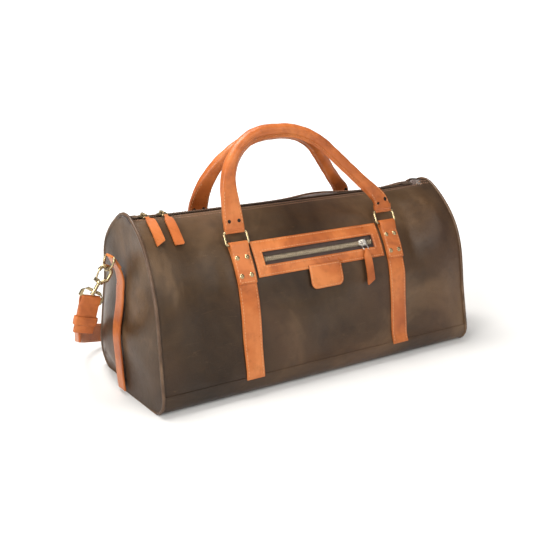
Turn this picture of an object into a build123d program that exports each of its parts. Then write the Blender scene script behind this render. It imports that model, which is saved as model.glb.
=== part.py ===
"""Leather weekender duffel bag with twin handles, a front zip pocket and a clip-on strap.

Frame: +X along the bag's length, -Y its front (pocket side), +Z up.
The origin is on the floor, under the middle of the base.  Millimetres.
"""
from build123d import *
import math
import os

# ---- the body: one section, swept along X, between two end panels ----
LENGTH = 530.0            # over the end panels, along the floor
BASE_HALF = 81.0          # half width of the flat floor
CORNER_R = 23.0           # floor to wall
WALL_LEAN = 9.3           # degrees, the walls lean in
WALL_RUN = 92.0           # straight part of the wall
SIDE_R = 163.0            # shoulder of the bag
RIDGE_R = 26.0            # ridge that carries the main zip
END_LEAN = {"left": 1.0, "right": 3.2}   # degrees, the end panels lean in

LEATHER = 2.4
LINING = 0.8
FIT = 0.05                # between layers that touch
FREE = 0.3                # between things that move on each other
BASE_WRAP = 26.0          # height of the base panel's turned-up band
PIPING = 3.4

# ---- main zip ----
ZIP_MOUTH = 7.0           # half width of the gap between front and back panels
TAPE_HALF = 17.0
TAPE = 0.6
CHAIN_WIDE = 6.0
CHAIN_THICK = 2.6
CHAIN_X = (-252.0, 222.0)
END_TABS = ((-252.0, -243.0), (210.0, 226.0))
MAIN_SLIDERS = {"left": -235.0, "right": -208.0}
PULL_WIDE = 13.0
PULL_THICK = 2.0
MAIN_PULL_LONG = 40.0
MAIN_LINK_FALL = 7.0      # degrees, the main links slope down to the front
SLIDER_TOP = 1.7
LINK_Z = SLIDER_TOP + 1.4     # axis of the link's near wire, above the chain
LINK_LONG = 11.0
LINK_WIDE = 8.6
LINK_WIRE = 0.75
NECK_WIDE = 5.4           # of a pull where it passes through its link
LINK_BORE = LINK_WIRE + 0.2   # of the leather fold round the link's far wire

# ---- straps, rings and handles ----
STRAP_X = 127.5
STRAP_WIDE = 28.0
STRAP_FOLD_Z = 148.0      # the folded tail behind the strap ends here
RING_WIRE = 1.7           # radius
RING_WIDE = 34.6          # between the centres of the side bars
RING_TALL = 17.0          # between the centres of the two cross bars
RING_ANGLE = 39.0         # where the ring sits on the shoulder, degrees
RING_LIFT = 4.5           # lower bar above the panel
RING_LEAN = 28.0          # rings lean in, degrees
LOOP = RING_WIRE + 0.25   # bore of a leather loop round a ring bar
RIVET_R = 3.3
RIVET_ROWS = (158.0, 179.0)
RIVET_PITCH = 15.0

GRIP_R = 8.3
ROPE_R = 6.0
TAB_WIDE = 30.0
TAB_LONG = 44.0
TAB_THICK = 5.0
TAB_RIVET_UP = 14.0
HANDLES = {
    "front": dict(lean=16.5, top=129.0, left_r=76.0, right_r=110.0, fall=44.0, toe_r=30.0),
    "back": dict(lean=18.0, top=122.0, left_r=103.0, right_r=95.0, fall=48.0, toe_r=25.0),
}
HANDLE_TOE = 4.0

# ---- front pocket ----
FRAME_X = 108.0
FRAME_Z = (153.0, 195.5)
FRAME_THICK = 2.0
WINDOW_X = 94.0
WINDOW_Z = (166.5, 182.0)
PATCH_X = 27.5
PATCH_Z = (126.0, 157.0)
PATCH_CORNER = 9.0
PATCH_THICK = 1.8
POCKET_CHAIN_WIDE = 5.0
POCKET_SLIDER_X = 75.0
POCKET_PULL_LONG = 47.0
POCKET_LINK_RISE = 12.0   # degrees, the link stands off the wall
POCKET_PULL_WIDE = 11.5
POUCH_Y = (-66.0, -58.0)
POUCH_Z = (60.0, 163.0)

# ---- ends: strap, D-ring, snap hook, in a frame with u outwards from the end panel ----
END_STRAP_WIDE = 20.0
END_STRAP_TOP = 160.0
D_BAR = (20.0, 188.0)     # u, z of the D-ring's straight bar
D_WIRE = 1.6
D_HALF = 13.0
D_DROP = 5.0
D_SWING = 19.0            # degrees, the D hangs a little outwards
HOOK_WIRE = 2.3
CLAW_R = 8.5
CLAW_TOP = 24.5
CLAW_PLAY = 0.8           # between the D's wire and the claw's top
PIN_R = 0.7               # gate pivot pin
HOOK_LEAN = 33.0          # degrees from straight down, outwards
EYE_WIDE = 34.0
EYE_NEAR = -9.0
EYE_FAR = -24.0
EYE_BAR = 4.0
EYE_THICK = 3.2

# ---- shoulder strap ----
SHOULDER_WIDE = 28.0
SHOULDER_THICK = 2.6
SHOULDER_HANG = 14.0      # degrees from straight down, outwards
SHOULDER_END = 40.0
KEEPER_TALL = 11.0
KEEPER_DOWN = 24.0        # middle of the keeper below the loop
# middle of the band from the left end to the right end, standing on its edge behind the bag
SHOULDER_ROUTE = [
    (-326.0, 4.4, 94.0),
    (-318.0, 42.0, 82.0),
    (-296.0, 78.0, 67.0),
    (-281.0, 120.0, 48.0),
    (-254.0, 155.0, 31.0),
    (-207.0, 176.0, 18.0),
    (-148.0, 184.0, 14.1),
    (-82.0, 181.0, 14.1),
    (-18.0, 172.0, 14.1),
    (50.0, 167.0, 14.1),
    (120.0, 172.0, 14.1),
    (185.0, 171.0, 16.0),
    (238.0, 152.0, 28.0),
    (273.0, 118.0, 46.0),
    (292.0, 79.0, 64.0),
    (312.0, 43.0, 81.0),
    (322.0, 4.4, 95.5),
]


# ---- body section ----
def rad(angle):
    return math.radians(angle)


def polar(centre, radius, angle):
    return (centre[0] + radius * math.cos(rad(angle)), centre[1] + radius * math.sin(rad(angle)))


CORNER_C = (BASE_HALF, CORNER_R)
WALL_FOOT = polar(CORNER_C, CORNER_R, WALL_LEAN)
WALL_HEAD = polar(WALL_FOOT, WALL_RUN, 90.0 + WALL_LEAN)
SIDE_C = polar(WALL_HEAD, -SIDE_R, WALL_LEAN)
RIDGE_ANGLE = math.degrees(math.acos(-SIDE_C[0] / (SIDE_R - RIDGE_R)))
RIDGE_C = (0.0, SIDE_C[1] + (SIDE_R - RIDGE_R) * math.sin(rad(RIDGE_ANGLE)))
RIDGE_Z = RIDGE_C[1] + RIDGE_R
CHAIN_TOP = RIDGE_Z - LEATHER + CHAIN_THICK


def section(inset):
    """Closed outline of the body, a given distance inside its outer face (negative is outside)."""
    side = SIDE_R - inset
    half = [
        Line((0, inset), (BASE_HALF, inset)),
        CenterArc(CORNER_C, CORNER_R - inset, -90, 90 + WALL_LEAN),
        Line(polar(CORNER_C, CORNER_R - inset, WALL_LEAN), polar(SIDE_C, side, WALL_LEAN)),
        CenterArc(SIDE_C, side, WALL_LEAN, RIDGE_ANGLE - WALL_LEAN),
        CenterArc(RIDGE_C, RIDGE_R - inset, RIDGE_ANGLE, 90 - RIDGE_ANGLE),
    ]
    other = [edge.mirror(Plane.YZ) for edge in half]
    return make_face(Wire(half + other))


def swept(face, x_low, x_high):
    """A face drawn in (y, z), made solid between two stations along X."""
    return Pos(x_low, 0, 0) * extrude(Plane.YZ * face, amount=x_high - x_low, dir=(1, 0, 0))


def block(x_span, y_span, z_span):
    corner = [(low + high) / 2 for low, high in (x_span, y_span, z_span)]
    return Pos(*corner) * Box(*[high - low for low, high in (x_span, y_span, z_span)])


def between_ends(inset):
    """The space between the two leaning end planes, moved in by inset."""
    tall = RIDGE_Z + 60
    left, right = [math.tan(rad(END_LEAN[side])) for side in ("left", "right")]
    half = LENGTH / 2 - inset
    low = -50
    pts = [
        (-half + low * left, low),
        (half - low * right, low),
        (half - tall * right, tall),
        (-half + tall * left, tall),
    ]
    return extrude(Plane.XZ * make_face(Polyline(*pts, close=True)), amount=300, both=True)


def body_layer(outer, inner):
    return swept(section(outer) - section(inner), -LENGTH / 2, LENGTH / 2) & between_ends(0)


def shoulder_point(angle, lift, front=True):
    y, z = polar(SIDE_C, SIDE_R + lift, angle)
    return (-y if front else y, z)


def sector(angle_low, angle_high):
    """Wedge of the shoulder between two angles, to cut a layer on it to length."""
    pts = [SIDE_C, polar(SIDE_C, 2 * SIDE_R, angle_low), polar(SIDE_C, 2 * SIDE_R, angle_high)]
    return make_face(Polyline(*pts, close=True))


def height_angle(z):
    """Angle on the shoulder, in degrees, where the outer face is at height z."""
    return math.degrees(math.asin((z - SIDE_C[1]) / SIDE_R))


def quad(*corners):
    return make_face(Polyline(*corners, close=True))


# ---- leather body ----
def panels():
    shell = body_layer(0, LEATHER)
    far = LENGTH
    base = shell & block((-far, far), (-far, far), (-1, BASE_WRAP))
    front = shell & block((-far, far), (-far, -ZIP_MOUTH), (BASE_WRAP + FIT, far))
    back = shell & block((-far, far), (ZIP_MOUTH, far), (BASE_WRAP + FIT, far))
    slot = block((-WINDOW_X, WINDOW_X), (-far, 0), WINDOW_Z)
    return {"base_panel": base, "front_panel": front - slot, "back_panel": back}


def end_panels():
    core = swept(section(LEATHER + FIT), -LENGTH / 2, LENGTH / 2)
    slab = (core & between_ends(0)) - between_ends(LEATHER)
    return {
        "left_end_panel": slab & block((-LENGTH, 0), (-LENGTH, LENGTH), (-1, LENGTH)),
        "right_end_panel": slab & block((0, LENGTH), (-LENGTH, LENGTH), (-1, LENGTH)),
    }


def piping():
    """A rounded welt over the seam between the wall and each end panel."""
    ring = swept(section(-PIPING * 0.55) - section(-FIT), -LENGTH / 2, LENGTH / 2)
    hoop = (ring & between_ends(0)) - between_ends(PIPING)
    return {
        "left_piping": hoop & block((-LENGTH, 0), (-LENGTH, LENGTH), (PIPING, LENGTH)),
        "right_piping": hoop & block((0, LENGTH), (-LENGTH, LENGTH), (PIPING, LENGTH)),
    }


def lining():
    outer = LEATHER + TAPE + 4 * FIT
    inner = outer + LINING
    skin = swept(section(outer), -LENGTH / 2, LENGTH / 2) & between_ends(outer)
    skin -= swept(section(inner), -LENGTH / 2, LENGTH / 2) & between_ends(inner)
    skin -= block((CHAIN_X[0], CHAIN_X[1]), (-ZIP_MOUTH, ZIP_MOUTH), (RIDGE_Z - 30, RIDGE_Z))
    skin -= block((-WINDOW_X, WINDOW_X), (-LENGTH, 0), WINDOW_Z)
    return {"lining": skin}


def base_board():
    return {"base_board": block((-246, 246), (-78, 78), (4.3, 7.3))}


# ---- zips ----
def main_zip():
    tape = swept(section(LEATHER + FIT) - section(LEATHER + FIT + TAPE), *CHAIN_X)
    near = tape & block((-LENGTH, LENGTH), (-TAPE_HALF, -FIT), (RIDGE_Z - 30, RIDGE_Z))
    far = tape & block((-LENGTH, LENGTH), (FIT, TAPE_HALF), (RIDGE_Z - 30, RIDGE_Z))
    foot = RIDGE_Z - LEATHER
    half = CHAIN_WIDE / 2
    chain = block(CHAIN_X, (-half, half), (foot, foot + CHAIN_THICK))
    stops = []
    for span in END_TABS:
        tab = block(span, (-6.2, 6.2), (foot + CHAIN_THICK + FIT, RIDGE_Z + 2.4))
        stops.append(fillet(tab.edges().group_by(Axis.Z)[-1], 1.2))
    return {
        "main_zip_tape_front": near,
        "main_zip_tape_back": far,
        "main_zip_chain": chain,
        "main_zip_end_tabs": Compound(children=stops),
    }


def slider_body(chain_wide, chain_thick):
    """Slider over a chain along X whose top is at z = 0, with an arch across it for the pull link."""
    wide = chain_wide + 4.0
    long = 13.0
    shape = Pos(0, 0, (FREE + 0.1 + SLIDER_TOP) / 2) * Box(long, wide, SLIDER_TOP - FREE - 0.1)
    waist = Pos(-long / 2, wide / 2 + 1.6, 0) * Cylinder(3.4, 6)
    shape -= waist
    shape -= waist.mirror(Plane.XZ)
    for side in (-1, 1):
        flange = Box(9.0, 1.2, SLIDER_TOP)
        shape += Pos(1.4, side * (wide / 2 - 0.6), (SLIDER_TOP - chain_thick) / 2) * flange
    arch = Pos(0, 0, SLIDER_TOP + 1.8) * Box(2.6, 8.4, 4.0)
    arch -= Pos(0, 0, LINK_Z) * Box(4.0, 5.4, 2.6)
    arch = fillet(arch.edges().filter_by(Axis.X).group_by(Axis.Z)[-1], 1.4)
    return shape + arch


def pull_link():
    """Flat wire link: near wire along X through the origin, far wire at y = -LINK_LONG."""
    half = LINK_WIDE / 2
    pts = [(-half, 0), (half, 0), (half, -LINK_LONG), (-half, -LINK_LONG)]
    path = FilletPolyline(*pts, radius=1.4, close=True)
    return sweep(Plane(origin=path @ 0, z_dir=path % 0) * Circle(LINK_WIRE), path=path)


def folded_pull(far_wire, lift, start, stop, x, wide):
    """Leather pull on the front: narrow fold round the link, then a wide tongue along the wall."""
    high = lift + PULL_THICK
    tongue = (section(-high) - section(-lift)) & sector(stop, start)
    low_edge = Vector(*polar(SIDE_C, SIDE_R + lift, start))
    high_edge = Vector(*polar(SIDE_C, SIDE_R + high, start))
    wire = Vector(*far_wire)
    along = ((low_edge + high_edge) * 0.5 - wire).normalized()
    across = Vector(-along.Y, along.X) * (PULL_THICK / 2)
    if (high_edge - low_edge).dot(across) < 0:
        across = across * -1
    neck = [wire - across, wire + across, high_edge, low_edge]
    neck = make_face(Polyline(*[(p.X, p.Y) for p in neck], close=True))
    fold = neck + Pos(wire.X, wire.Y) * Circle(LINK_BORE + PULL_THICK * 0.8)
    fold -= Pos(wire.X, wire.Y) * Circle(LINK_BORE)
    broad = swept(tongue.mirror(Plane.YZ), x - wide / 2, x + wide / 2)
    return broad + swept(fold.mirror(Plane.YZ), x - NECK_WIDE / 2, x + NECK_WIDE / 2)


def main_sliders():
    out = {}
    start = RIDGE_ANGLE - 1.0
    stop = start - math.degrees(MAIN_PULL_LONG / SIDE_R)
    fall = rad(MAIN_LINK_FALL)
    far_wire = (LINK_LONG * math.cos(fall), CHAIN_TOP + LINK_Z - LINK_LONG * math.sin(fall))
    for side, x in MAIN_SLIDERS.items():
        out["main_slider_" + side] = Pos(x, 0, CHAIN_TOP) * slider_body(CHAIN_WIDE, CHAIN_THICK)
        link = Rot(MAIN_LINK_FALL, 0, 0) * pull_link()
        out["main_pull_link_" + side] = Pos(x, 0, CHAIN_TOP + LINK_Z) * link
        out["main_pull_" + side] = folded_pull(far_wire, 0.6, start, stop, x, PULL_WIDE)
    return out


def pocket_plane(z):
    """Plane on the front wall at height z: x along the bag, y up the wall, z outwards."""
    angle = height_angle(z)
    y, height = shoulder_point(angle, 0)
    outwards = (0, -math.cos(rad(angle)), math.sin(rad(angle)))
    return Plane(origin=(0, y, height), x_dir=(1, 0, 0), z_dir=outwards)


def on_wall(outer, x_span, z_span):
    """A layer on the front wall between two offsets, within a window of x and z."""
    low, high = outer
    face = section(-high) - section(-low)
    return swept(face, *x_span) & block((-LENGTH, LENGTH), (-LENGTH, 0), z_span)


def pocket():
    middle = (WINDOW_Z[0] + WINDOW_Z[1]) / 2
    frame = on_wall((FIT, FIT + FRAME_THICK), (-FRAME_X, FRAME_X), FRAME_Z)
    frame -= block((-WINDOW_X, WINDOW_X), (-LENGTH, 0), WINDOW_Z)
    low = 2 * FIT + FRAME_THICK
    patch = on_wall((low, low + PATCH_THICK), (-PATCH_X, PATCH_X), PATCH_Z)
    tall = PATCH_Z[1] - PATCH_Z[0] + PATCH_CORNER
    tongue = Pos(0, PATCH_Z[0] + tall / 2) * RectangleRounded(2 * PATCH_X, tall, PATCH_CORNER)
    patch &= extrude(Plane.XZ * tongue, amount=LENGTH, both=True)
    inside = LEATHER + FIT
    tape = swept(section(inside) - section(inside + TAPE), -WINDOW_X - 7, WINDOW_X + 7)
    tape &= block((-LENGTH, LENGTH), (-LENGTH, 0), (WINDOW_Z[0] - 6, WINDOW_Z[1] + 6))
    wall = pocket_plane(middle)
    chain = wall * Pos(0, 0, -1.2) * Box(2 * WINDOW_X - 2, POCKET_CHAIN_WIDE, 2.2)
    place = wall * Pos(POCKET_SLIDER_X, 0, -0.1)
    slider = place * slider_body(POCKET_CHAIN_WIDE, 2.2)
    link = place * Pos(0, 0, LINK_Z) * Rot(-POCKET_LINK_RISE, 0, 0) * pull_link()
    return {
        "pocket_frame": frame,
        "pocket_patch": patch,
        "pocket_zip_tape": tape,
        "pocket_zip_chain": chain,
        "pocket_slider": slider,
        "pocket_pull_link": link,
        "pocket_pull": pocket_pull(wall),
        "pocket_pouch": pouch(),
    }


def pocket_pull(wall):
    """Leather pull hanging from the pocket slider's link, its tip cut on the slant."""
    rise = rad(POCKET_LINK_RISE)
    spot = wall * Pos(0, -LINK_LONG * math.cos(rise), LINK_Z - 0.1 + LINK_LONG * math.sin(rise))
    far_wire = (-spot.position.Y, spot.position.Z)
    lift = 2 * FIT + FRAME_THICK + PATCH_THICK + 0.6
    start = height_angle(far_wire[1] - 7.0)
    stop = start - math.degrees(POCKET_PULL_LONG / SIDE_R)
    tab = folded_pull(far_wire, lift, start, stop, POCKET_SLIDER_X, POCKET_PULL_WIDE)
    tip = shoulder_point(stop, lift)[1]
    return tab - Pos(POCKET_SLIDER_X + POCKET_PULL_WIDE / 2, 0, tip - 2) * Rot(0, 50, 0) * Box(9, 400, 9)


def pouch():
    wall = LINING
    shell = block((-98, 98), POUCH_Y, POUCH_Z)
    hollow = block((-98 + wall, 98 - wall), (POUCH_Y[0] + wall, POUCH_Y[1] - wall), (POUCH_Z[0] + wall, 400))
    return shell - hollow


# ---- straps that carry the handles ----
RING_FOOT = shoulder_point(RING_ANGLE, RING_LIFT)
RING_HEAD = (
    RING_FOOT[0] + RING_TALL * math.sin(rad(RING_LEAN)),
    RING_FOOT[1] + RING_TALL * math.cos(rad(RING_LEAN)),
)


def strap_face():
    """Section of a handle strap in (y, z) on the +Y side: wall layer, folded tail and ring loop."""
    one = FIT + LEATHER
    two = one + LEATHER
    crest = RING_ANGLE - 4.4
    fold = height_angle(STRAP_FOLD_Z)
    lower = section(-one) - section(-FIT)
    lower &= Pos(LENGTH / 2, (STRAP_FOLD_Z + BASE_WRAP) / 2) * Rectangle(LENGTH, STRAP_FOLD_Z - BASE_WRAP)
    upper = (section(-two) - section(-FIT)) & sector(fold, crest)
    tail = (section(-one) - section(-FIT)) & sector(crest - 0.5, RING_ANGLE)
    ramp = quad(
        polar(SIDE_C, SIDE_R + FIT, fold - 3.0),
        polar(SIDE_C, SIDE_R + one, fold - 3.0),
        polar(SIDE_C, SIDE_R + two, fold + 0.1),
        polar(SIDE_C, SIDE_R + FIT, fold + 0.1),
    )
    ring = polar(SIDE_C, SIDE_R + RING_LIFT, RING_ANGLE)
    outer_loop = LOOP + LEATHER
    cover = quad(
        polar(SIDE_C, SIDE_R + one, crest - 0.1),
        polar(SIDE_C, SIDE_R + two, crest - 0.1),
        polar(SIDE_C, SIDE_R + RING_LIFT + outer_loop, RING_ANGLE),
        polar(SIDE_C, SIDE_R + RING_LIFT + LOOP, RING_ANGLE),
    )
    loop = Pos(*ring) * Circle(outer_loop)
    bore = Pos(*ring) * Circle(LOOP)
    inside = section(-FIT)
    return lower + ramp + upper + tail + cover + loop - bore - inside


def handle_straps():
    out = {}
    face = strap_face()
    for row in ("front", "back"):
        placed = face.mirror(Plane.YZ) if row == "front" else face
        for side, sign in (("left", -1), ("right", 1)):
            x = sign * STRAP_X
            strap = swept(placed, x - STRAP_WIDE / 2, x + STRAP_WIDE / 2)
            out[f"strap_{row}_{side}"] = strap
            out[f"strap_rivets_{row}_{side}"] = strap_rivets(x, row)
    return out


def rivet_head(radius):
    """Domed cap standing on z = 0."""
    ball = radius * 1.35
    cap = Pos(0, 0, -radius * 0.9) * Sphere(ball)
    return cap & (Pos(0, 0, 2) * Cylinder(radius, 4))


def strap_rivets(x, row):
    caps = []
    for z in RIVET_ROWS:
        angle = height_angle(z)
        lift = 2 * LEATHER + 2 * FIT
        y, height = polar(SIDE_C, SIDE_R + lift, angle)
        normal = (0, math.cos(rad(angle)), math.sin(rad(angle)))
        for shift in (-RIVET_PITCH / 2, RIVET_PITCH / 2):
            seat = Plane(origin=(x + shift, y, height), x_dir=(1, 0, 0), z_dir=normal)
            cap = seat * rivet_head(RIVET_R)
            caps.append(cap.mirror(Plane.XZ) if row == "front" else cap)
    return Compound(children=caps)


def ring(row, sign):
    """Rectangular wire ring, its lower bar in the strap loop and its upper bar in the handle tab."""
    half = RING_WIDE / 2
    rect = [(-half, 0), (half, 0), (half, RING_TALL), (-half, RING_TALL)]
    path = FilletPolyline(*rect, radius=3.0, close=True)
    start = path @ 0
    tangent = path % 0
    wire = Plane(origin=start, z_dir=tangent) * Circle(RING_WIRE)
    flat = sweep(wire, path=path)
    lean = rad(RING_LEAN)
    foot = Plane(
        origin=(sign * STRAP_X, RING_FOOT[0], RING_FOOT[1]),
        x_dir=(1, 0, 0),
        z_dir=(0, -math.cos(lean), math.sin(lean)),
    )
    placed = foot * flat
    return placed if row == "front" else placed.mirror(Plane.XZ)


def rings():
    out = {}
    for row in ("front", "back"):
        for side, sign in (("left", -1), ("right", 1)):
            out[f"ring_{row}_{side}"] = ring(row, sign)
    return out


# ---- handles ----
def handle_path(top, left_r, right_r, fall, toe_r, **_):
    """Middle line of the grip in its own plane: x along the bag, y up from the ring bars."""
    leg = top - left_r
    toe = HANDLE_TOE + toe_r * math.cos(rad(fall))
    run = (top - right_r * (1 - math.cos(rad(fall))) - toe) / math.sin(rad(fall))
    crest = STRAP_X - right_r * math.sin(rad(fall)) - run * math.cos(rad(fall))
    crest -= toe_r * (1 - math.sin(rad(fall)))
    start = (-STRAP_X, min(leg - 1, TAB_LONG - 12))
    first = Line(start, (-STRAP_X, leg))
    rise = CenterArc((-STRAP_X + left_r, leg), left_r, 180, -90)
    flat = Line((-STRAP_X + left_r, top), (crest, top))
    drop = CenterArc((crest, top - right_r), right_r, 90, -fall)
    end = drop @ 1
    down = Line(end, (end.X + run * math.cos(rad(fall)), end.Y - run * math.sin(rad(fall))))
    return Wire([first, rise, flat, drop, down])


def handle_plane(lean):
    return Plane(
        origin=(0, RING_HEAD[0], RING_HEAD[1]),
        x_dir=(1, 0, 0),
        z_dir=(0, -math.cos(rad(lean)), math.sin(rad(lean))),
    )


def rope(path, radius):
    seat = Plane(origin=path @ 0, z_dir=path % 0)
    return sweep(seat * Circle(radius), path=path)


def handle_tab(x):
    """Flat end of a handle, folded round the ring's upper bar, with two rivet holes."""
    neck = 22.0
    pts = [(-TAB_WIDE / 2, 0), (TAB_WIDE / 2, 0), (TAB_WIDE / 2, 20), (neck / 2, TAB_LONG)]
    pts += [(-neck / 2, TAB_LONG), (-TAB_WIDE / 2, 20)]
    tab = extrude(make_face(Polyline(*pts, close=True)), amount=TAB_THICK / 2, both=True)
    bar = Rot(0, 90, 0) * Cylinder(LOOP + LEATHER, TAB_WIDE)
    bore = Rot(0, 90, 0) * Cylinder(LOOP, TAB_WIDE + 2)
    return Pos(x, 0, 0) * (tab + bar - bore)


def handles():
    out = {}
    for row, shape in HANDLES.items():
        path = handle_path(**shape)
        core = rope(path, ROPE_R)
        sleeve = rope(path, GRIP_R) - rope(path, ROPE_R + FIT)
        studs = []
        for x in (-STRAP_X, STRAP_X):
            sleeve += handle_tab(x) - core
            for shift in (-RIVET_PITCH / 2, RIVET_PITCH / 2):
                spot = Pos(x + shift, TAB_RIVET_UP, 0)
                sleeve -= spot * Cylinder(2.3, 3 * TAB_THICK)
                studs.append(spot * Cylinder(2.3 - FIT, TAB_THICK - 0.8))
        plane = handle_plane(shape["lean"])
        for name, solids in (("sleeve", [sleeve]), ("rope", [core]), ("rivets", studs)):
            placed = [plane * solid for solid in solids]
            if row == "back":
                placed = [solid.mirror(Plane.XZ) for solid in placed]
            out[f"handle_{name}_{row}"] = placed[0] if len(placed) == 1 else Compound(children=placed)
    return out


# ---- the two ends ----
def end_place(side):
    """Frame of an end panel: local x outwards from the panel's foot, z up the panel."""
    if side == "left":
        return Pos(-LENGTH / 2, 0, 0) * Rot(0, 0, 180) * Rot(0, -END_LEAN[side], 0)
    return Pos(LENGTH / 2, 0, 0) * Rot(0, -END_LEAN[side], 0)


def end_strap():
    """Strap up the middle of an end panel, peeling off at its top to hold the D-ring."""
    half = END_STRAP_WIDE / 2
    flat = block((FIT, FIT + LEATHER), (-half, half), (8, END_STRAP_TOP + 2))
    u, z = D_BAR
    foot = Vector(FIT + LEATHER, END_STRAP_TOP)
    along = (Vector(u, z) - foot).normalized()
    side = Vector(along.Y, -along.X)
    near = foot - along * 3
    far = Vector(u, z)
    # edge on the panel side and edge on the outer side of the doubled leather
    pts = [near - side * LEATHER, near + side * LEATHER, far + side * LEATHER, far - side * LEATHER]
    tongue = make_face(Polyline(*[(p.X, p.Y) for p in pts], close=True))
    tongue += Pos(u, z) * Circle(LOOP + LEATHER)
    tongue -= Pos(u, z) * Circle(LOOP)
    panel_side = Pos(-50 + FIT, END_STRAP_TOP) * Rectangle(100, 200)
    tongue -= panel_side
    solid = extrude(Plane.XZ * tongue, amount=half, both=True)
    return flat + solid


def d_ring():
    """D-ring hanging from its bar at the origin, in the (y, z) plane."""
    bend = 3.0
    half = D_HALF
    edges = [
        Line((-half + bend, 0), (half - bend, 0)),
        CenterArc((half - bend, -bend), bend, 90, -90),
        Line((half, -bend), (half, -D_DROP)),
        CenterArc((0, -D_DROP), half, 0, -180),
        Line((-half, -D_DROP), (-half, -bend)),
        CenterArc((-half + bend, -bend), bend, 180, -90),
    ]
    path = Wire(edges)
    wire = Plane(origin=(-half + bend, 0, 0), z_dir=(1, 0, 0)) * Circle(D_WIRE)
    return Plane.YZ * sweep(wire, path=path)


def d_bottom():
    """(u, z) of the middle of the D's round wire."""
    reach = D_DROP + D_HALF
    return (D_BAR[0] + reach * math.sin(rad(D_SWING)), D_BAR[1] - reach * math.cos(rad(D_SWING)))


def hook_origin():
    """(u, z) of the swivel neck, with the D's wire resting in the top of the claw."""
    seat = CLAW_TOP - HOOK_WIRE - D_WIRE - CLAW_PLAY
    u, z = d_bottom()
    return (u + seat * math.sin(rad(HOOK_LEAN)), z - seat * math.cos(rad(HOOK_LEAN)))


def hook_place():
    """Hook frame: local x to the gate side, local z up the hook's axis, y through its plane."""
    u, z = hook_origin()
    return Pos(u, 0, z) * Rot(0, -HOOK_LEAN, 0)


GATE_PIVOT = (6.6, 4.6)
NOSE = (CLAW_R, CLAW_TOP - CLAW_R - 1.0)


def claw():
    """Cast claw: spine on the panel side, round top, nose on the gate side, round swivel boss."""
    centre = CLAW_TOP - CLAW_R
    edges = [
        Line((-2.5, 2.6), (-CLAW_R, 8.5)),
        Line((-CLAW_R, 8.5), (-CLAW_R, centre)),
        CenterArc((0, centre), CLAW_R, 180, -180),
        Line((CLAW_R, centre), NOSE),
    ]
    path = Wire(edges)
    start = Plane(origin=path @ 0, z_dir=path % 0)
    bar = sweep(start * Circle(HOOK_WIRE), path=path, transition=Transition.ROUND)
    bar = Plane.XZ * bar
    boss = Pos(0, 0, 1.9) * Cylinder(5.0, 3.8)
    boss = fillet(boss.edges(), 1.0)
    cheek = Pos(GATE_PIVOT[0] - 1.6, 0, GATE_PIVOT[1] - 1.4) * Box(5.4, 5.6, 4.6)
    cheek = fillet(cheek.edges().filter_by(Axis.Y), 1.2)
    slot = Pos(GATE_PIVOT[0] + 0.2, 0, GATE_PIVOT[1] + 1.6) * Box(9, 2.6, 7.2)
    stem = Pos(0, 0, -5.0) * Cylinder(2.3, 11.0)
    knob = Pos(0, 0, EYE_NEAR - EYE_BAR - 2.6) * Cylinder(3.4, 2.2)
    knob = fillet(knob.edges(), 0.7)
    link = Pos(0, 0, (EYE_NEAR - EYE_BAR) / 2 - 2) * Cylinder(2.3, -(EYE_NEAR - EYE_BAR) + 1)
    pin = Pos(GATE_PIVOT[0], 0, GATE_PIVOT[1]) * Rot(90, 0, 0) * Cylinder(PIN_R, 5.0)
    return bar + (cheek - slot) + boss + stem + link + knob + pin


def gate():
    """Sprung gate between the pivot in the cheek and the claw's nose."""
    foot = Vector(GATE_PIVOT[0], 0, GATE_PIVOT[1])
    tip = Vector(NOSE[0], 0, NOSE[1] - 0.5)
    along = tip - foot
    plane = Plane(origin=foot, z_dir=along)
    bar = plane * Pos(0, 0, along.length / 2) * Cylinder(1.1, along.length)
    pivot = Plane(origin=foot, z_dir=(0, 1, 0))
    return bar + pivot * Cylinder(1.6, 2.0) - pivot * Cylinder(PIN_R + 0.1, 4.0)


def eye_bracket():
    """Flat trapezium eye that turns on the hook's stem and carries the strap."""
    near, far, half = EYE_NEAR, EYE_FAR, EYE_WIDE / 2
    pts = [(-9, near), (9, near), (half, near - 7), (half, far), (-half, far), (-half, near - 7)]
    plate = make_face(Polyline(*pts, close=True))
    plate = fillet(plate.vertices(), 1.8)
    window = Pos(0, (near - EYE_BAR + far + EYE_BAR) / 2) * Rectangle(2 * half - 7, near - far - 2 * EYE_BAR)
    plate -= window
    solid = extrude(Plane.XZ * plate, amount=EYE_THICK / 2, both=True)
    collar = Pos(0, 0, near - EYE_BAR / 2) * Cylinder(4.4, EYE_BAR)
    bore = Pos(0, 0, near) * Cylinder(2.3 + FREE, 30)
    solid = solid + collar - bore
    for sign in (-1, 1):
        solid -= Pos(sign * (half - 4.2), 0, near - 5.6) * Rot(90, 0, 0) * Cylinder(1.3, 10)
    return solid


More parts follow.
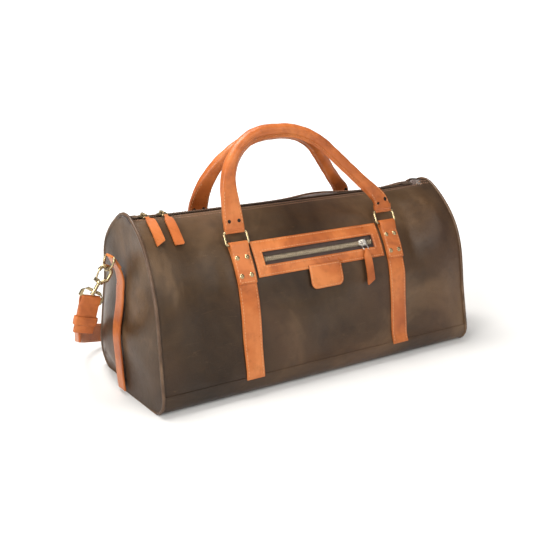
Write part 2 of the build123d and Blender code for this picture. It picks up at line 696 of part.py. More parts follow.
def strap_end(side):
    """Folded end of the shoulder strap: loop round the eye's far bar and doubled leather below."""
    u, z = hook_origin()
    reach = -(EYE_FAR + EYE_BAR / 2)
    bar = (u + reach * math.sin(rad(HOOK_LEAN)), z - reach * math.cos(rad(HOOK_LEAN)))
    wide = SHOULDER_WIDE - 2.0
    loop_in = EYE_BAR / 2 + FREE
    skin = SHOULDER_THICK
    turn = Pos(bar[0], 0, bar[1]) * Rot(0, -HOOK_LEAN, 0)
    boxy = EYE_THICK / 2 + FREE
    sleeve = Box(wide, 2 * (boxy + skin), 2 * (loop_in + skin)) - Box(wide + 2, 2 * boxy, 2 * loop_in)
    sleeve = turn * sleeve
    lean = SHOULDER_HANG
    drop = Pos(bar[0], 0, bar[1]) * Rot(0, -lean, 0)
    plate = drop * Pos(0, 0, -SHOULDER_END / 2 - loop_in - skin) * Box(wide, 2 * skin, SHOULDER_END)
    hollow = turn * Box(EYE_WIDE + 4, 2 * boxy, 2 * loop_in)
    band = Box(wide + 5, 2 * skin + 4, KEEPER_TALL) - Box(wide + 0.4, 2 * skin + 0.4, KEEPER_TALL + 1)
    keeper = drop * Pos(0, 0, -loop_in - skin - KEEPER_DOWN) * band
    place = end_place(side)
    return {
        f"shoulder_strap_end_{side}": place * (sleeve + plate - hollow),
        f"shoulder_strap_keeper_{side}": place * keeper,
    }


def ends():
    out = {}
    for side in ("left", "right"):
        place = end_place(side)
        out[f"end_strap_{side}"] = place * end_strap()
        hang = Pos(D_BAR[0], 0, D_BAR[1]) * Rot(0, -D_SWING, 0)
        out[f"d_ring_{side}"] = place * hang * d_ring()
        hook = place * hook_place()
        out[f"hook_{side}"] = hook * claw()
        out[f"hook_gate_{side}"] = hook * gate()
        out[f"hook_eye_{side}"] = hook * eye_bracket()
        out.update(strap_end(side))
    return out


# ---- shoulder strap band ----
def turn_radius(before, corner, after):
    run_in = Vector(*corner) - Vector(*before)
    run_out = Vector(*after) - Vector(*corner)
    turn = run_in.get_angle(run_out)
    short = min(run_in.length, run_out.length)
    return 0.45 * short / math.tan(rad(turn / 2))


def shoulder_strap():
    points = SHOULDER_ROUTE
    radii = [turn_radius(*points[i:i + 3]) for i in range(len(points) - 2)]
    print("shoulder strap radii", [round(r) for r in radii])
    path = FilletPolyline(*points, radius=radii)
    start = path @ 0
    tangent = path % 0
    seat = Plane(origin=start, x_dir=Vector(tangent.X, tangent.Y, 0).cross(Vector(0, 0, 1)), z_dir=tangent)
    band = sweep(seat * Rectangle(SHOULDER_THICK, SHOULDER_WIDE - 0.4), path=path)
    print("shoulder strap length", round(path.length), "volume ratio",
          round(band.volume / (path.length * SHOULDER_THICK * (SHOULDER_WIDE - 0.4)), 3))
    return {"shoulder_strap": band}


def build():
    parts = {}
    makers = (panels, end_panels, piping, lining, base_board, main_zip, main_sliders, pocket)
    makers += (handle_straps, rings, handles, ends, shoulder_strap)
    for maker in makers:
        parts.update(maker())
    return parts


if __name__ in ("__main__", "part"):
    os.makedirs("parts", exist_ok=True)
    PARTS = build()
    for node, shape in PARTS.items():
        export_step(shape, f"parts/{node}.step")
    print(len(PARTS), "nodes")
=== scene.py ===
"""Looks of a leather travel duffel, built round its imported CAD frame.  Metres, +Z up, front is -Y."""
import bpy
import math
import numpy as np
from mathutils import Matrix, Vector


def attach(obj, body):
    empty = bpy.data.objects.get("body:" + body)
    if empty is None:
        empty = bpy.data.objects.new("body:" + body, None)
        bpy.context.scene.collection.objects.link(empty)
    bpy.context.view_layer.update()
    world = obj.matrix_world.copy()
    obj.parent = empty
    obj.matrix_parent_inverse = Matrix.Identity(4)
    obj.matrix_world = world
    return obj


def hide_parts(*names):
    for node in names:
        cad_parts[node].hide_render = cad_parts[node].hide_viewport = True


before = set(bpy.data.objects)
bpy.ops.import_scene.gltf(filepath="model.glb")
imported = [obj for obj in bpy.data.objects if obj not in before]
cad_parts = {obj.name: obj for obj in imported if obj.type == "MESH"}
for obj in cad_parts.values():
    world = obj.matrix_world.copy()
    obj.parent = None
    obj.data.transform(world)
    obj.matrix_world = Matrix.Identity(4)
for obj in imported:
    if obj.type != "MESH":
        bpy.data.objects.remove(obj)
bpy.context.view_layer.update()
bpy.ops.object.select_all(action="DESELECT")

MM = 0.001
RAD = math.radians

# ---- the bag's section, as the frame is cut ----
HALF_LONG = 0.265
BASE_HALF = 0.081
CORNER_R = 0.023
WALL_LEAN = RAD(9.3)
WALL_RUN = 0.092
SIDE_R = 0.163
RIDGE_R = 0.026
END_LEAN = {"left": RAD(1.0), "right": RAD(3.2)}
SIGN = {"left": -1.0, "right": 1.0}
ROW = {"front": 1.0, "back": -1.0}


def polar(centre, radius, angle):
    return (centre[0] + radius * math.cos(angle), centre[1] + radius * math.sin(angle))


CORNER_C = (BASE_HALF, CORNER_R)
WALL_FOOT = polar(CORNER_C, CORNER_R, WALL_LEAN)
WALL_HEAD = polar(WALL_FOOT, WALL_RUN, math.pi / 2 + WALL_LEAN)
SIDE_C = polar(WALL_HEAD, -SIDE_R, WALL_LEAN)
RIDGE_ANGLE = math.acos(-SIDE_C[0] / (SIDE_R - RIDGE_R))
RIDGE_C = (0.0, SIDE_C[1] + (SIDE_R - RIDGE_R) * math.sin(RIDGE_ANGLE))
RIDGE_Z = RIDGE_C[1] + RIDGE_R
RUNS = [
    RIDGE_R * (math.pi / 2 - RIDGE_ANGLE),
    SIDE_R * (RIDGE_ANGLE - WALL_LEAN),
    WALL_RUN,
    CORNER_R * (math.pi / 2 + WALL_LEAN),
    BASE_HALF,
]
STARTS = [sum(RUNS[:i]) for i in range(6)]
GIRTH = STARTS[5]          # from the ridge down the front to the middle of the base


def around(s):
    """The same place on the pattern, counted from the ridge the short way round."""
    return (np.asarray(s, float) + GIRTH) % (2 * GIRTH) - GIRTH


def section(s):
    """y, z and outward normal of the bare pattern, s metres from the ridge (front +, back -)."""
    s = around(s)
    a = np.abs(s)
    part = [np.clip(a - STARTS[i], 0, RUNS[i]) for i in range(5)]
    angle = math.pi / 2 - part[0] / RIDGE_R - part[1] / SIDE_R - part[3] / CORNER_R
    y = RIDGE_C[0] + RIDGE_R * np.cos(math.pi / 2 - part[0] / RIDGE_R)
    z = RIDGE_C[1] + RIDGE_R * np.sin(math.pi / 2 - part[0] / RIDGE_R)
    side = RIDGE_ANGLE - part[1] / SIDE_R
    y += SIDE_R * (np.cos(side) - math.cos(RIDGE_ANGLE))
    z += SIDE_R * (np.sin(side) - math.sin(RIDGE_ANGLE))
    y += part[2] * math.sin(WALL_LEAN)
    z -= part[2] * math.cos(WALL_LEAN)
    corner = WALL_LEAN - part[3] / CORNER_R
    y += CORNER_R * (np.cos(corner) - math.cos(WALL_LEAN))
    z += CORNER_R * (np.sin(corner) - math.sin(WALL_LEAN))
    y -= part[4]
    flip = np.where(s >= 0, -1.0, 1.0)
    return flip * y, z, flip * np.cos(angle), np.sin(angle)


WAY_DOWN = np.linspace(0, STARTS[4], 2000)
HEIGHTS = section(WAY_DOWN)[1]


def s_at(z):
    """Distance down the front pattern at which its height is z."""
    return float(np.interp(-z, -HEIGHTS, WAY_DOWN))


def fade(value, low, high):
    t = np.clip((value - low) / (high - low), 0, 1)
    return t * t * (3 - 2 * t)


def mound(value, centre, spread):
    return np.exp(-((value - centre) / spread) ** 2)


STRAP_X = 0.1275
S_RING = s_at(0.1966)
S_SEAM = s_at(0.026)
S_POCKET = (s_at(0.1955), s_at(0.153))


def still(x, s):
    """1 where the leather is held flat by the handle straps, 0 well away from them."""
    x, a = np.abs(np.asarray(x, float)), np.abs(around(s))
    beside = fade(np.abs(x - STRAP_X), 0.018, 0.042)
    beyond = fade(np.abs(a - S_RING - 0.018), 0.036, 0.062)
    return (1 - beside) * (1 - beyond)


def crown(x, s):
    """Fullness of the leather along the top: near both ends, and by the open back lip of the mouth."""
    x, a = np.asarray(x, float), np.abs(around(s))
    left = 6.5 * mound(x, -0.262, 0.050) * (1 - fade(a, 0.04, 0.12))
    right = 8.5 * mound(x, 0.230, 0.046) * (1 - fade(a, 0.08, 0.20))
    lip = 8.5 * mound(x, 0.055, 0.058) * np.where(around(s) < 0, 1.0, 0.12) * (1 - fade(a, 0.022, 0.065))
    past_zip = np.maximum(fade(-x, 0.250, 0.258), fade(x, 0.224, 0.236))
    return (left + lip + right) * np.maximum(fade(a, 0.004, 0.020), past_zip) * (1 - still(x, s)) * MM


def swell(x, s):
    """How far the soft leather stands off its pattern: fullness, dents and puckers."""
    x, s = np.asarray(x, float), around(s)
    a = np.abs(s)
    down = np.clip(a / S_SEAM, 0, 1)
    row = np.where(s >= 0, 0.0, 1.7)
    wave = 1.5 * np.sin(13.0 * x + 3.0 * down + row) + 1.0 * np.sin(29.0 * x - 7.0 * down + 1.3 + 2 * row)
    wave += 0.8 * np.sin(47.0 * x + 11.0 * down + 0.4 - row) * np.sin(3.1 * down)
    wave += 0.45 * np.sin(83.0 * x - 19.0 * down + row)
    dents = -5.0 * mound(x, -0.185, 0.030) * mound(down, 0.62, 0.34)
    dents += 3.0 * mound(x, -0.232, 0.024) * mound(down, 0.60, 0.40)
    dents += -5.5 * mound(x, 0.176, 0.026) * mound(down, 0.36, 0.22)
    dents += 3.5 * mound(x, 0.222, 0.030) * mound(down, 0.52, 0.30)
    dents += -3.5 * mound(x, 0.0, 0.060) * mound(down, 0.88, 0.16)
    dents += 2.5 * mound(x, -0.06, 0.045) * mound(down, 0.72, 0.14)
    dents += -3.0 * mound(x, -0.02, 0.085) * mound(down, 0.12, 0.09)
    out = (wave + dents) * fade(a, 0.012, 0.05) * (1 - fade(a, S_SEAM - 0.012, S_SEAM + 0.004))
    pocket = (1 - fade(np.abs(x), 0.10, 0.135)) * np.where(s > 0, 1.0, 0.0)
    pocket = pocket * fade(a, 0.040, 0.060) * (1 - fade(a, 0.135, 0.165))
    out = out * (1 - still(x, s)) * (1 - pocket)
    edge = np.minimum(end_x("right", s) - x, x - end_x("left", s))
    out = out * fade(edge, 0.0, 0.035)
    pucker = 0.35 * np.sin(2 * math.pi * s / 0.0115) * np.exp(-np.clip(edge, 0, 1) / 0.009)
    return (out + pucker * fade(a, 0.02, 0.05)) * MM + crown(x, s)


def end_x(side, s):
    """Where the end seam crosses the pattern: the ends lean in, and the back left seam is drawn in."""
    s = around(s)
    z = section(s)[1]
    x = HALF_LONG - z * math.tan(END_LEAN[side])
    if side == "left":
        drawn = 0.010 * (1 - fade(z, 0.13, 0.20)) + 0.006 * (1 - fade(z, 0.0, 0.05))
        x = x - drawn * np.where(s < 0, 1.0, 0.0) * fade(np.abs(section(s)[0]), 0.0, 0.07)
    else:
        x = x + 0.004 * fade(z, 0.12, 0.20)
    return SIGN[side] * x


def on_bag(x, s, h):
    """World points on the bag: x along it, s down its pattern, h off the leather."""
    y, z, ny, nz = section(s)
    lift = np.asarray(h) + swell(x, s)
    points = np.stack([x + 0 * y, y + ny * lift, z + nz * lift], -1)
    points[..., 2] = np.maximum(points[..., 2], 0.0002)
    return points


# ---- shaping helpers ----
def finish_piece(piece, body, materials, smooth=38.0):
    """Material, shading, body and finish of a piece, its place applied to its mesh."""
    activate(piece)
    bpy.ops.object.transform_apply(location=True, rotation=True, scale=True)
    if piece.type == "MESH":
        bpy.ops.object.shade_smooth_by_angle(angle=RAD(smooth))
        if not piece.data.materials:
            for material in materials:
                piece.data.materials.append(material)
    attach(piece, body)
    return piece


def activate(piece):
    bpy.ops.object.select_all(action="DESELECT")
    piece.select_set(True)
    bpy.context.view_layer.objects.active = piece


def get_points(piece):
    flat = np.empty(len(piece.data.vertices) * 3)
    piece.data.vertices.foreach_get("co", flat)
    return flat.reshape(-1, 3)


def set_points(piece, points):
    piece.data.vertices.foreach_set("co", np.asarray(points, float).ravel())
    piece.data.update()


def lay(piece, place):
    """Moves a flat-cut piece to its place: place takes x, y, z arrays and gives world points."""
    p = get_points(piece)
    set_points(piece, place(p[:, 0], p[:, 1], p[:, 2]))


def start_piece(name, primitive, **size):
    """A new primitive, the only thing selected."""
    bpy.ops.object.select_all(action="DESELECT")
    primitive(**size)
    bpy.context.object.name = name
    return bpy.context.object


def edit_all(piece, *steps):
    """Runs the steps in edit mode with the whole piece selected."""
    activate(piece)
    bpy.ops.object.mode_set(mode="EDIT")
    bpy.ops.mesh.select_all(action="SELECT")
    for step in steps:
        step()
    bpy.ops.object.mode_set(mode="OBJECT")


def lay_clear(piece, place, is_clear):
    """Lays a strip, and turns its thickness to the other side where it isn't clear of what it wraps."""
    p = get_points(piece)
    set_points(piece, place(p[:, 0], p[:, 1], p[:, 2]))
    if not is_clear(get_points(piece)):
        set_points(piece, place(p[:, 0], p[:, 1], -p[:, 2]))


def outward(piece):
    edit_all(piece, bpy.ops.mesh.normals_make_consistent)


def flip(piece):
    edit_all(piece, bpy.ops.mesh.flip_normals)


def select_edges_along(piece, axis, least):
    """In edit mode's selection: edges that run along one axis and are at least so long."""
    bpy.ops.mesh.select_mode(type="EDGE")
    bpy.ops.mesh.select_all(action="DESELECT")
    bpy.ops.object.mode_set(mode="OBJECT")
    mesh = piece.data
    for edge in mesh.edges:
        a, b = (mesh.vertices[i].co for i in edge.vertices)
        run = b - a
        edge.select = bool(run.length > least and abs(run[axis]) > 0.98 * run.length)
    bpy.ops.object.mode_set(mode="EDIT")


def cut_strip(name, width, length, thick, cuts, edge=0.0007, cross_cuts=0):
    """A flat strip of leather, x across, y along from 0, z up from 0, with rounded edges."""
    strip = start_piece(name, bpy.ops.mesh.primitive_cube_add, size=1.0)
    bpy.ops.object.mode_set(mode="EDIT")
    bpy.ops.mesh.select_mode(type="EDGE")
    bpy.ops.mesh.select_all(action="SELECT")
    bpy.ops.transform.resize(value=(width, length, thick))
    bpy.ops.transform.translate(value=(0, length / 2, thick / 2))
    bpy.ops.mesh.bevel(offset=edge, segments=2, affect="EDGES")
    select_edges_along(strip, 1, length * 0.5)
    if cuts:
        bpy.ops.mesh.subdivide(number_cuts=cuts)
    if cross_cuts:
        select_edges_along(strip, 0, width * 0.5)
        bpy.ops.mesh.subdivide(number_cuts=cross_cuts)
    bpy.ops.object.mode_set(mode="OBJECT")
    return strip


def cut_tube(name, sides, cuts):
    """A unit tube along y from 0 to 1, its radius 1."""
    tube = start_piece(name, bpy.ops.mesh.primitive_cylinder_add, vertices=sides, radius=1.0, depth=1.0,
                       rotation=(-math.pi / 2, 0, 0))
    bpy.ops.object.transform_apply(location=True, rotation=True, scale=True)
    bpy.ops.object.mode_set(mode="EDIT")
    bpy.ops.mesh.select_mode(type="EDGE")
    bpy.ops.mesh.select_all(action="SELECT")
    bpy.ops.transform.translate(value=(0, 0.5, 0))
    select_edges_along(tube, 1, 0.5)
    bpy.ops.mesh.subdivide(number_cuts=cuts)
    bpy.ops.object.mode_set(mode="OBJECT")
    return tube


def cut_sheet(name, nx, ny):
    """A unit sheet, x and y from 0 to 1."""
    sheet = start_piece(name, bpy.ops.mesh.primitive_grid_add, x_subdivisions=nx, y_subdivisions=ny, size=1.0)
    edit_all(sheet, lambda: bpy.ops.transform.translate(value=(0.5, 0.5, 0)))
    return sheet


def rail(points, sides):
    """A way to lay a strip along a line: its width goes along the side vectors."""
    points, sides = np.asarray(points, float), np.asarray(sides, float)
    sides = np.broadcast_to(sides, points.shape)
    steps = np.linalg.norm(np.diff(points, axis=0), axis=1)
    run = np.concatenate([[0], np.cumsum(steps)])
    tangent = np.gradient(points, run, axis=0)
    normal = np.cross(sides, tangent)
    normal /= np.linalg.norm(normal, axis=1)[:, None]

    def pick(values, y):
        return np.stack([np.interp(y, run, values[:, i]) for i in range(3)], -1)

    def place(x, y, z):
        n = pick(normal, y)
        n /= np.linalg.norm(n, axis=1)[:, None]
        side = pick(sides, y)
        side /= np.linalg.norm(side, axis=1)[:, None]
        return pick(points, y) + side * np.asarray(x)[:, None] + n * np.asarray(z)[:, None]

    return place, run[-1]


def arc(centre, radius, start, stop, count):
    angles = np.linspace(start, stop, count)
    return [(centre[0] + radius * math.cos(t), centre[1] + radius * math.sin(t)) for t in angles]


def one_stitch():
    """A single stitch lying along y, its ends sunk."""
    stitch = start_piece("stitch", bpy.ops.mesh.primitive_uv_sphere_add, segments=6, ring_count=5, radius=0.5)
    edit_all(
        stitch,
        lambda: bpy.ops.transform.rotate(value=math.pi / 2, orient_axis="X", center_override=(0, 0, 0)),
        lambda: bpy.ops.transform.resize(value=(0.0009, 0.0034, 0.0008)),
    )
    return stitch


def one_tooth():
    """A single zip tooth, a block with a rounded head."""
    tooth = start_piece("tooth", bpy.ops.mesh.primitive_cube_add, size=1.0)
    edit_all(tooth, lambda: bpy.ops.mesh.bevel(offset=0.2, segments=1, affect="EDGES"))
    return tooth


PATTERNS = {"stitch": one_stitch(), "tooth": one_tooth()}


def row_of(pattern, count, step):
    """A copy of the one shape, repeated in a row along y."""
    row = bpy.data.objects.new("row", PATTERNS[pattern].data.copy())
    bpy.context.collection.objects.link(row)
    activate(row)
    array = row.modifiers.new("row", "ARRAY")
    array.count = count
    array.use_relative_offset = False
    array.use_constant_offset = True
    array.constant_offset_displace = (0, step, 0)
    bpy.ops.object.modifier_apply(modifier=array.name)
    return row


def join(name, rows):
    activate(rows[0])
    for row in rows:
        row.select_set(True)
    if len(rows) > 1:
        bpy.ops.object.join()
    rows[0].name = name
    return rows[0]


STITCH_PITCH = 0.0044
STITCH_LOOK = 0.0004       # how far either side a stitch looks to find its direction


def sew(name, runs, place, body, yarn, height=0.0001):
    """Rows of stitches along flat lines, laid with the leather that they hold."""
    rows = []
    for line in runs:
        line = np.asarray(line, float)
        steps = np.linalg.norm(np.diff(line, axis=0), axis=1)
        run = np.concatenate([[0], np.cumsum(steps)])
        count = max(2, int(run[-1] / STITCH_PITCH))
        row = row_of("stitch", count, STITCH_PITCH)
        p = get_points(row)
        along = p[:, 1] + (run[-1] - (count - 1) * STITCH_PITCH) / 2
        before, after = along - STITCH_LOOK, along + STITCH_LOOK
        ahead = [np.interp(after, run, line[:, i]) - np.interp(before, run, line[:, i]) for i in (0, 1)]
        far = np.hypot(*ahead)
        x = np.interp(along, run, line[:, 0]) + p[:, 0] * ahead[1] / far
        y = np.interp(along, run, line[:, 1]) - p[:, 0] * ahead[0] / far
        set_points(row, place(x, y, p[:, 2] + height))
        rows.append(row)
    return finish_piece(join(name, rows), body, [yarn], 60)


def sew_tan(name, runs, place, body="root", height=0.0):
    return sew(name, runs, place, body, TAN_THREAD, height)


# ---- materials ----
def coords(tree):
    return tree.nodes.new("ShaderNodeTexCoord").outputs["Object"]


def stretched(tree, vector, scale):
    node = tree.nodes.new("ShaderNodeMapping")
    node.inputs["Scale"].default_value = scale
    tree.links.new(vector, node.inputs["Vector"])
    return node.outputs["Vector"]


def noise(tree, vector, scale, detail=3.0, rough=0.5, distort=0.0):
    node = tree.nodes.new("ShaderNodeTexNoise")
    node.inputs["Scale"].default_value = scale
    node.inputs["Detail"].default_value = detail
    node.inputs["Roughness"].default_value = rough
    node.inputs["Distortion"].default_value = distort
    tree.links.new(vector, node.inputs["Vector"])
    return node.outputs["Fac"]


def cells(tree, vector, scale):
    """Distance from the borders of small cells."""
    node = tree.nodes.new("ShaderNodeTexVoronoi")
    node.feature = "DISTANCE_TO_EDGE"
    node.inputs["Scale"].default_value = scale
    tree.links.new(vector, node.inputs["Vector"])
    return node.outputs["Distance"]


def ramp(tree, value, stops):
    node = tree.nodes.new("ShaderNodeValToRGB")
    elements = node.color_ramp.elements
    while len(elements) < len(stops):
        elements.new(0.5)
    for element, (at, colour) in zip(elements, stops):
        element.position = at
        element.color = (*colour, 1.0) if len(colour) == 3 else colour
    tree.links.new(value, node.inputs["Fac"])
    return node.outputs["Color"]


def grey(tree, value, low, high, start=0.0, stop=1.0):
    node = tree.nodes.new("ShaderNodeMapRange")
    node.inputs["From Min"].default_value = start
    node.inputs["From Max"].default_value = stop
    node.inputs["To Min"].default_value = low
    node.inputs["To Max"].default_value = high
    tree.links.new(value, node.inputs["Value"])
    return node.outputs["Result"]


def blend_colours(tree, mode, amount, first, second):
    node = tree.nodes.new("ShaderNodeMix")
    node.data_type = "RGBA"
    node.blend_type = mode
    if isinstance(amount, float):
        node.inputs[0].default_value = amount
    else:
        tree.links.new(amount, node.inputs[0])
    for socket, value in ((node.inputs[6], first), (node.inputs[7], second)):
        if isinstance(value, tuple):
            socket.default_value = (*value, 1.0)
        else:
            tree.links.new(value, socket)
    return node.outputs[2]


def maths(tree, operation, first, second):
    node = tree.nodes.new("ShaderNodeMath")
    node.operation = operation
    for socket, value in zip(node.inputs, (first, second)):
        if isinstance(value, float):
            socket.default_value = value
        else:
            tree.links.new(value, socket)
    return node.outputs[0]


def bumped(tree, height, strength, distance, under=None):
    node = tree.nodes.new("ShaderNodeBump")
    node.inputs["Strength"].default_value = strength
    node.inputs["Distance"].default_value = distance
    tree.links.new(height, node.inputs["Height"])
    if under is not None:
        tree.links.new(under, node.inputs["Normal"])
    return node.outputs["Normal"]


def surface(name, **fixed):
    """A new material: its tree, its shader and its settings that are the same all over."""
    material = bpy.data.materials.new(name)
    material.use_nodes = True
    shader = material.node_tree.nodes["Principled BSDF"]
    for socket, value in fixed.items():
        shader.inputs[socket.replace("_", " ")].default_value = value
    return material, material.node_tree, shader


def leather(name, darkest, middle, lightest, tint, patch_scale, gloss, grain, warm=0.5):
    """Leather: clouded colour, pull-up marks, pores and creases, uneven wax."""
    material, tree, shader = surface(name, Specular_IOR_Level=0.31)
    at = coords(tree)
    clouds = noise(tree, at, patch_scale, 4.0, 0.55, 0.7)
    colour = ramp(tree, clouds, [(0.30, darkest), (0.52, middle), (0.74, lightest)])
    tinted = grey(tree, noise(tree, at, patch_scale * 0.55, 2.0, 0.5, 0.4), 0.0, warm, 0.42, 0.66)
    colour = blend_colours(tree, "MIX", tinted, colour, tint)
    mottle = grey(tree, noise(tree, at, patch_scale * 7, 5.0, 0.62), 0.78, 1.22, 0.28, 0.72)
    mottled = ramp(tree, mottle, [(0.0, (0, 0, 0)), (1.0, (1, 1, 1))])
    colour = blend_colours(tree, "MULTIPLY", 1.0, colour, mottled)
    scuff = noise(tree, stretched(tree, at, (30, 34, 260)), 1.0, 6.0, 0.7, 1.4)
    scuff = grey(tree, scuff, 0.0, 0.35, 0.60, 0.78)
    colour = blend_colours(tree, "MIX", scuff, colour, lightest)
    tree.links.new(colour, shader.inputs["Base Color"])
    wax = grey(tree, noise(tree, at, patch_scale * 2.2, 4.0, 0.6), gloss - 0.10, gloss + 0.12, 0.3, 0.7)
    tree.links.new(wax, shader.inputs["Roughness"])
    pores = grey(tree, cells(tree, at, 640.0), 0.0, 1.0, 0.0, 0.35)
    creases = noise(tree, at, 95.0, 7.0, 0.68, 0.5)
    fine = noise(tree, at, 900.0, 2.0, 0.5)
    normal = bumped(tree, creases, 0.30 * grain, 0.0016)
    normal = bumped(tree, pores, 0.22 * grain, 0.0003, normal)
    normal = bumped(tree, fine, 0.20 * grain, 0.0003, normal)
    tree.links.new(normal, shader.inputs["Normal"])
    return material


def plain_leather_edge(name, dark, light):
    material, tree, shader = surface(name, Roughness=0.5)
    at = coords(tree)
    colour = ramp(tree, noise(tree, at, 260.0, 4.0, 0.6), [(0.35, dark), (0.7, light)])
    tree.links.new(colour, shader.inputs["Base Color"])
    tree.links.new(bumped(tree, noise(tree, at, 700.0, 3.0), 0.4, 0.0004), shader.inputs["Normal"])
    return material


def metal(name, bright, tarnish, rough, amount=0.55):
    """Cast or plated metal: polished on the whole, tarnished in clouds, finely scratched."""
    material, tree, shader = surface(name, Metallic=1.0)
    at = coords(tree)
    stain = grey(tree, noise(tree, at, 190.0, 5.0, 0.65, 0.6), 0.0, amount, 0.46, 0.74)
    colour = blend_colours(tree, "MIX", stain, bright, tarnish)
    tree.links.new(colour, shader.inputs["Base Color"])
    worn = grey(tree, noise(tree, at, 420.0, 4.0, 0.6), rough - 0.07, rough + 0.13, 0.3, 0.7)
    tree.links.new(worn, shader.inputs["Roughness"])
    lines = noise(tree, stretched(tree, at, (900, 900, 3000)), 1.0, 2.0)
    tree.links.new(bumped(tree, lines, 0.08, 0.0002), shader.inputs["Normal"])
    return material


def woven(name, dark, light, pitch):
    """Cloth: crossing threads with a soft nap."""
    material, tree, shader = surface(name, Roughness=0.85)
    shader.inputs["Sheen Weight"].default_value = 0.3
    at = coords(tree)
    split = tree.nodes.new("ShaderNodeSeparateXYZ")
    tree.links.new(at, split.inputs[0])
    warp = maths(tree, "SINE", maths(tree, "MULTIPLY", split.outputs[0], 6.283 / pitch), 0.0)
    along = maths(tree, "ADD", split.outputs[1], split.outputs[2])
    weft = maths(tree, "SINE", maths(tree, "MULTIPLY", along, 6.283 / pitch), 0.0)
    weave = grey(tree, maths(tree, "MULTIPLY", warp, weft), 0.0, 1.0, -1.0, 1.0)
    patch = noise(tree, at, 130.0, 3.0)
    value = maths(tree, "MULTIPLY", weave, patch)
    tree.links.new(ramp(tree, value, [(0.05, dark), (0.6, light)]), shader.inputs["Base Color"])
    tree.links.new(bumped(tree, weave, 0.6, 0.0003), shader.inputs["Normal"])
    return material


def thread(name, dark, light):
    material, tree, shader = surface(name, Roughness=0.62)
    at = coords(tree)
    ply = noise(tree, stretched(tree, at, (1, 1, 1)), 1700.0, 2.0)
    tree.links.new(ramp(tree, ply, [(0.35, dark), (0.65, light)]), shader.inputs["Base Color"])
    tree.links.new(bumped(tree, ply, 0.5, 0.0002), shader.inputs["Normal"])
    return material


DARK = leather("waxed_brown_leather", (0.020, 0.0098, 0.0038), (0.054, 0.029, 0.0118), (0.170, 0.100, 0.050),
               (0.074, 0.036, 0.020), 6.5, 0.38, 1.0, 0.60)
PIPE = leather("welt_leather", (0.048, 0.026, 0.014), (0.100, 0.058, 0.032), (0.19, 0.12, 0.070),
               (0.08, 0.045, 0.030), 30.0, 0.40, 0.8)
TAN = leather("oiled_tan_leather", (0.230, 0.052, 0.011), (0.440, 0.122, 0.028), (0.600, 0.205, 0.060),
              (0.330, 0.078, 0.020), 14.0, 0.36, 0.75, 0.45)
TAN_EDGE = plain_leather_edge("burnished_edge", (0.10, 0.030, 0.012), (0.24, 0.075, 0.028))
DARK_EDGE = plain_leather_edge("dark_cut_edge", (0.035, 0.022, 0.015), (0.10, 0.065, 0.045))
TAN_THREAD = thread("tan_thread", (0.42, 0.175, 0.070), (0.68, 0.35, 0.165))
DARK_THREAD = thread("brown_thread", (0.16, 0.075, 0.045), (0.34, 0.18, 0.11))
BRASS = metal("antique_brass", (0.44, 0.345, 0.195), (0.085, 0.060, 0.030), 0.27, 0.8)
TEETH_METAL = metal("zip_gunmetal", (0.25, 0.205, 0.145), (0.085, 0.065, 0.045), 0.36)
# The main zip's teeth are coloured much darker than the pocket zip's, so that no bright line of teeth shows
# along the top.
TEETH_DARK = metal("zip_teeth_darker", (0.16, 0.11, 0.08), (0.06, 0.04, 0.03), 0.42)
NICKEL = metal("satin_nickel", (0.72, 0.69, 0.64), (0.30, 0.27, 0.23), 0.26, 0.4)
BLACK_METAL = metal("black_stud", (0.035, 0.028, 0.024), (0.012, 0.010, 0.009), 0.42)
TAPE_CLOTH = woven("zip_tape_cloth", (0.030, 0.015, 0.011), (0.100, 0.054, 0.038), 0.0011)
LINING_CLOTH = woven("lining_twill", (0.05, 0.02, 0.018), (0.20, 0.09, 0.08), 0.0013)
ROPE_CLOTH = woven("cotton_rope", (0.30, 0.25, 0.18), (0.66, 0.58, 0.46), 0.0022)
BOARD = plain_leather_edge("stiffener_board", (0.02, 0.02, 0.02), (0.06, 0.058, 0.055))


def dress(node, material):
    """A better material on a CAD piece whose shape stays."""
    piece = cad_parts[node]
    if not piece.data.materials:
        piece.data.materials.append(material)
    for slot in range(len(piece.data.materials)):
        piece.data.materials[slot] = material


def dress_metalwork():
    for row in ROW:
        for side in SIGN:
            dress(f"ring_{row}_{side}", BRASS)
            dress(f"strap_rivets_{row}_{side}", BRASS)
        dress(f"handle_rivets_{row}", BLACK_METAL)
        dress(f"handle_rope_{row}", ROPE_CLOTH)
    for side in SIGN:
        for kind in ("main_slider", "main_pull_link", "d_ring", "hook", "hook_gate", "hook_eye"):
            dress(f"{kind}_{side}", BRASS)
    for node in ("pocket_slider", "pocket_pull_link"):
        dress(node, NICKEL)
    for node in ("lining", "pocket_pouch"):
        dress(node, LINING_CLOTH)
    dress("base_board", BOARD)


# ---- the leather body ----
WALL = 0.0024
MOUTH = 0.0072
WINDOW_X = 0.094
WINDOW_S = (s_at(0.182), s_at(0.1665))


def thicken(piece, thick):
    activate(piece)
    solid = piece.modifiers.new("thickness", "SOLIDIFY")
    solid.thickness = thick
    solid.offset = -1.0
    solid.use_even_offset = True
    bpy.ops.object.modifier_apply(modifier=solid.name)


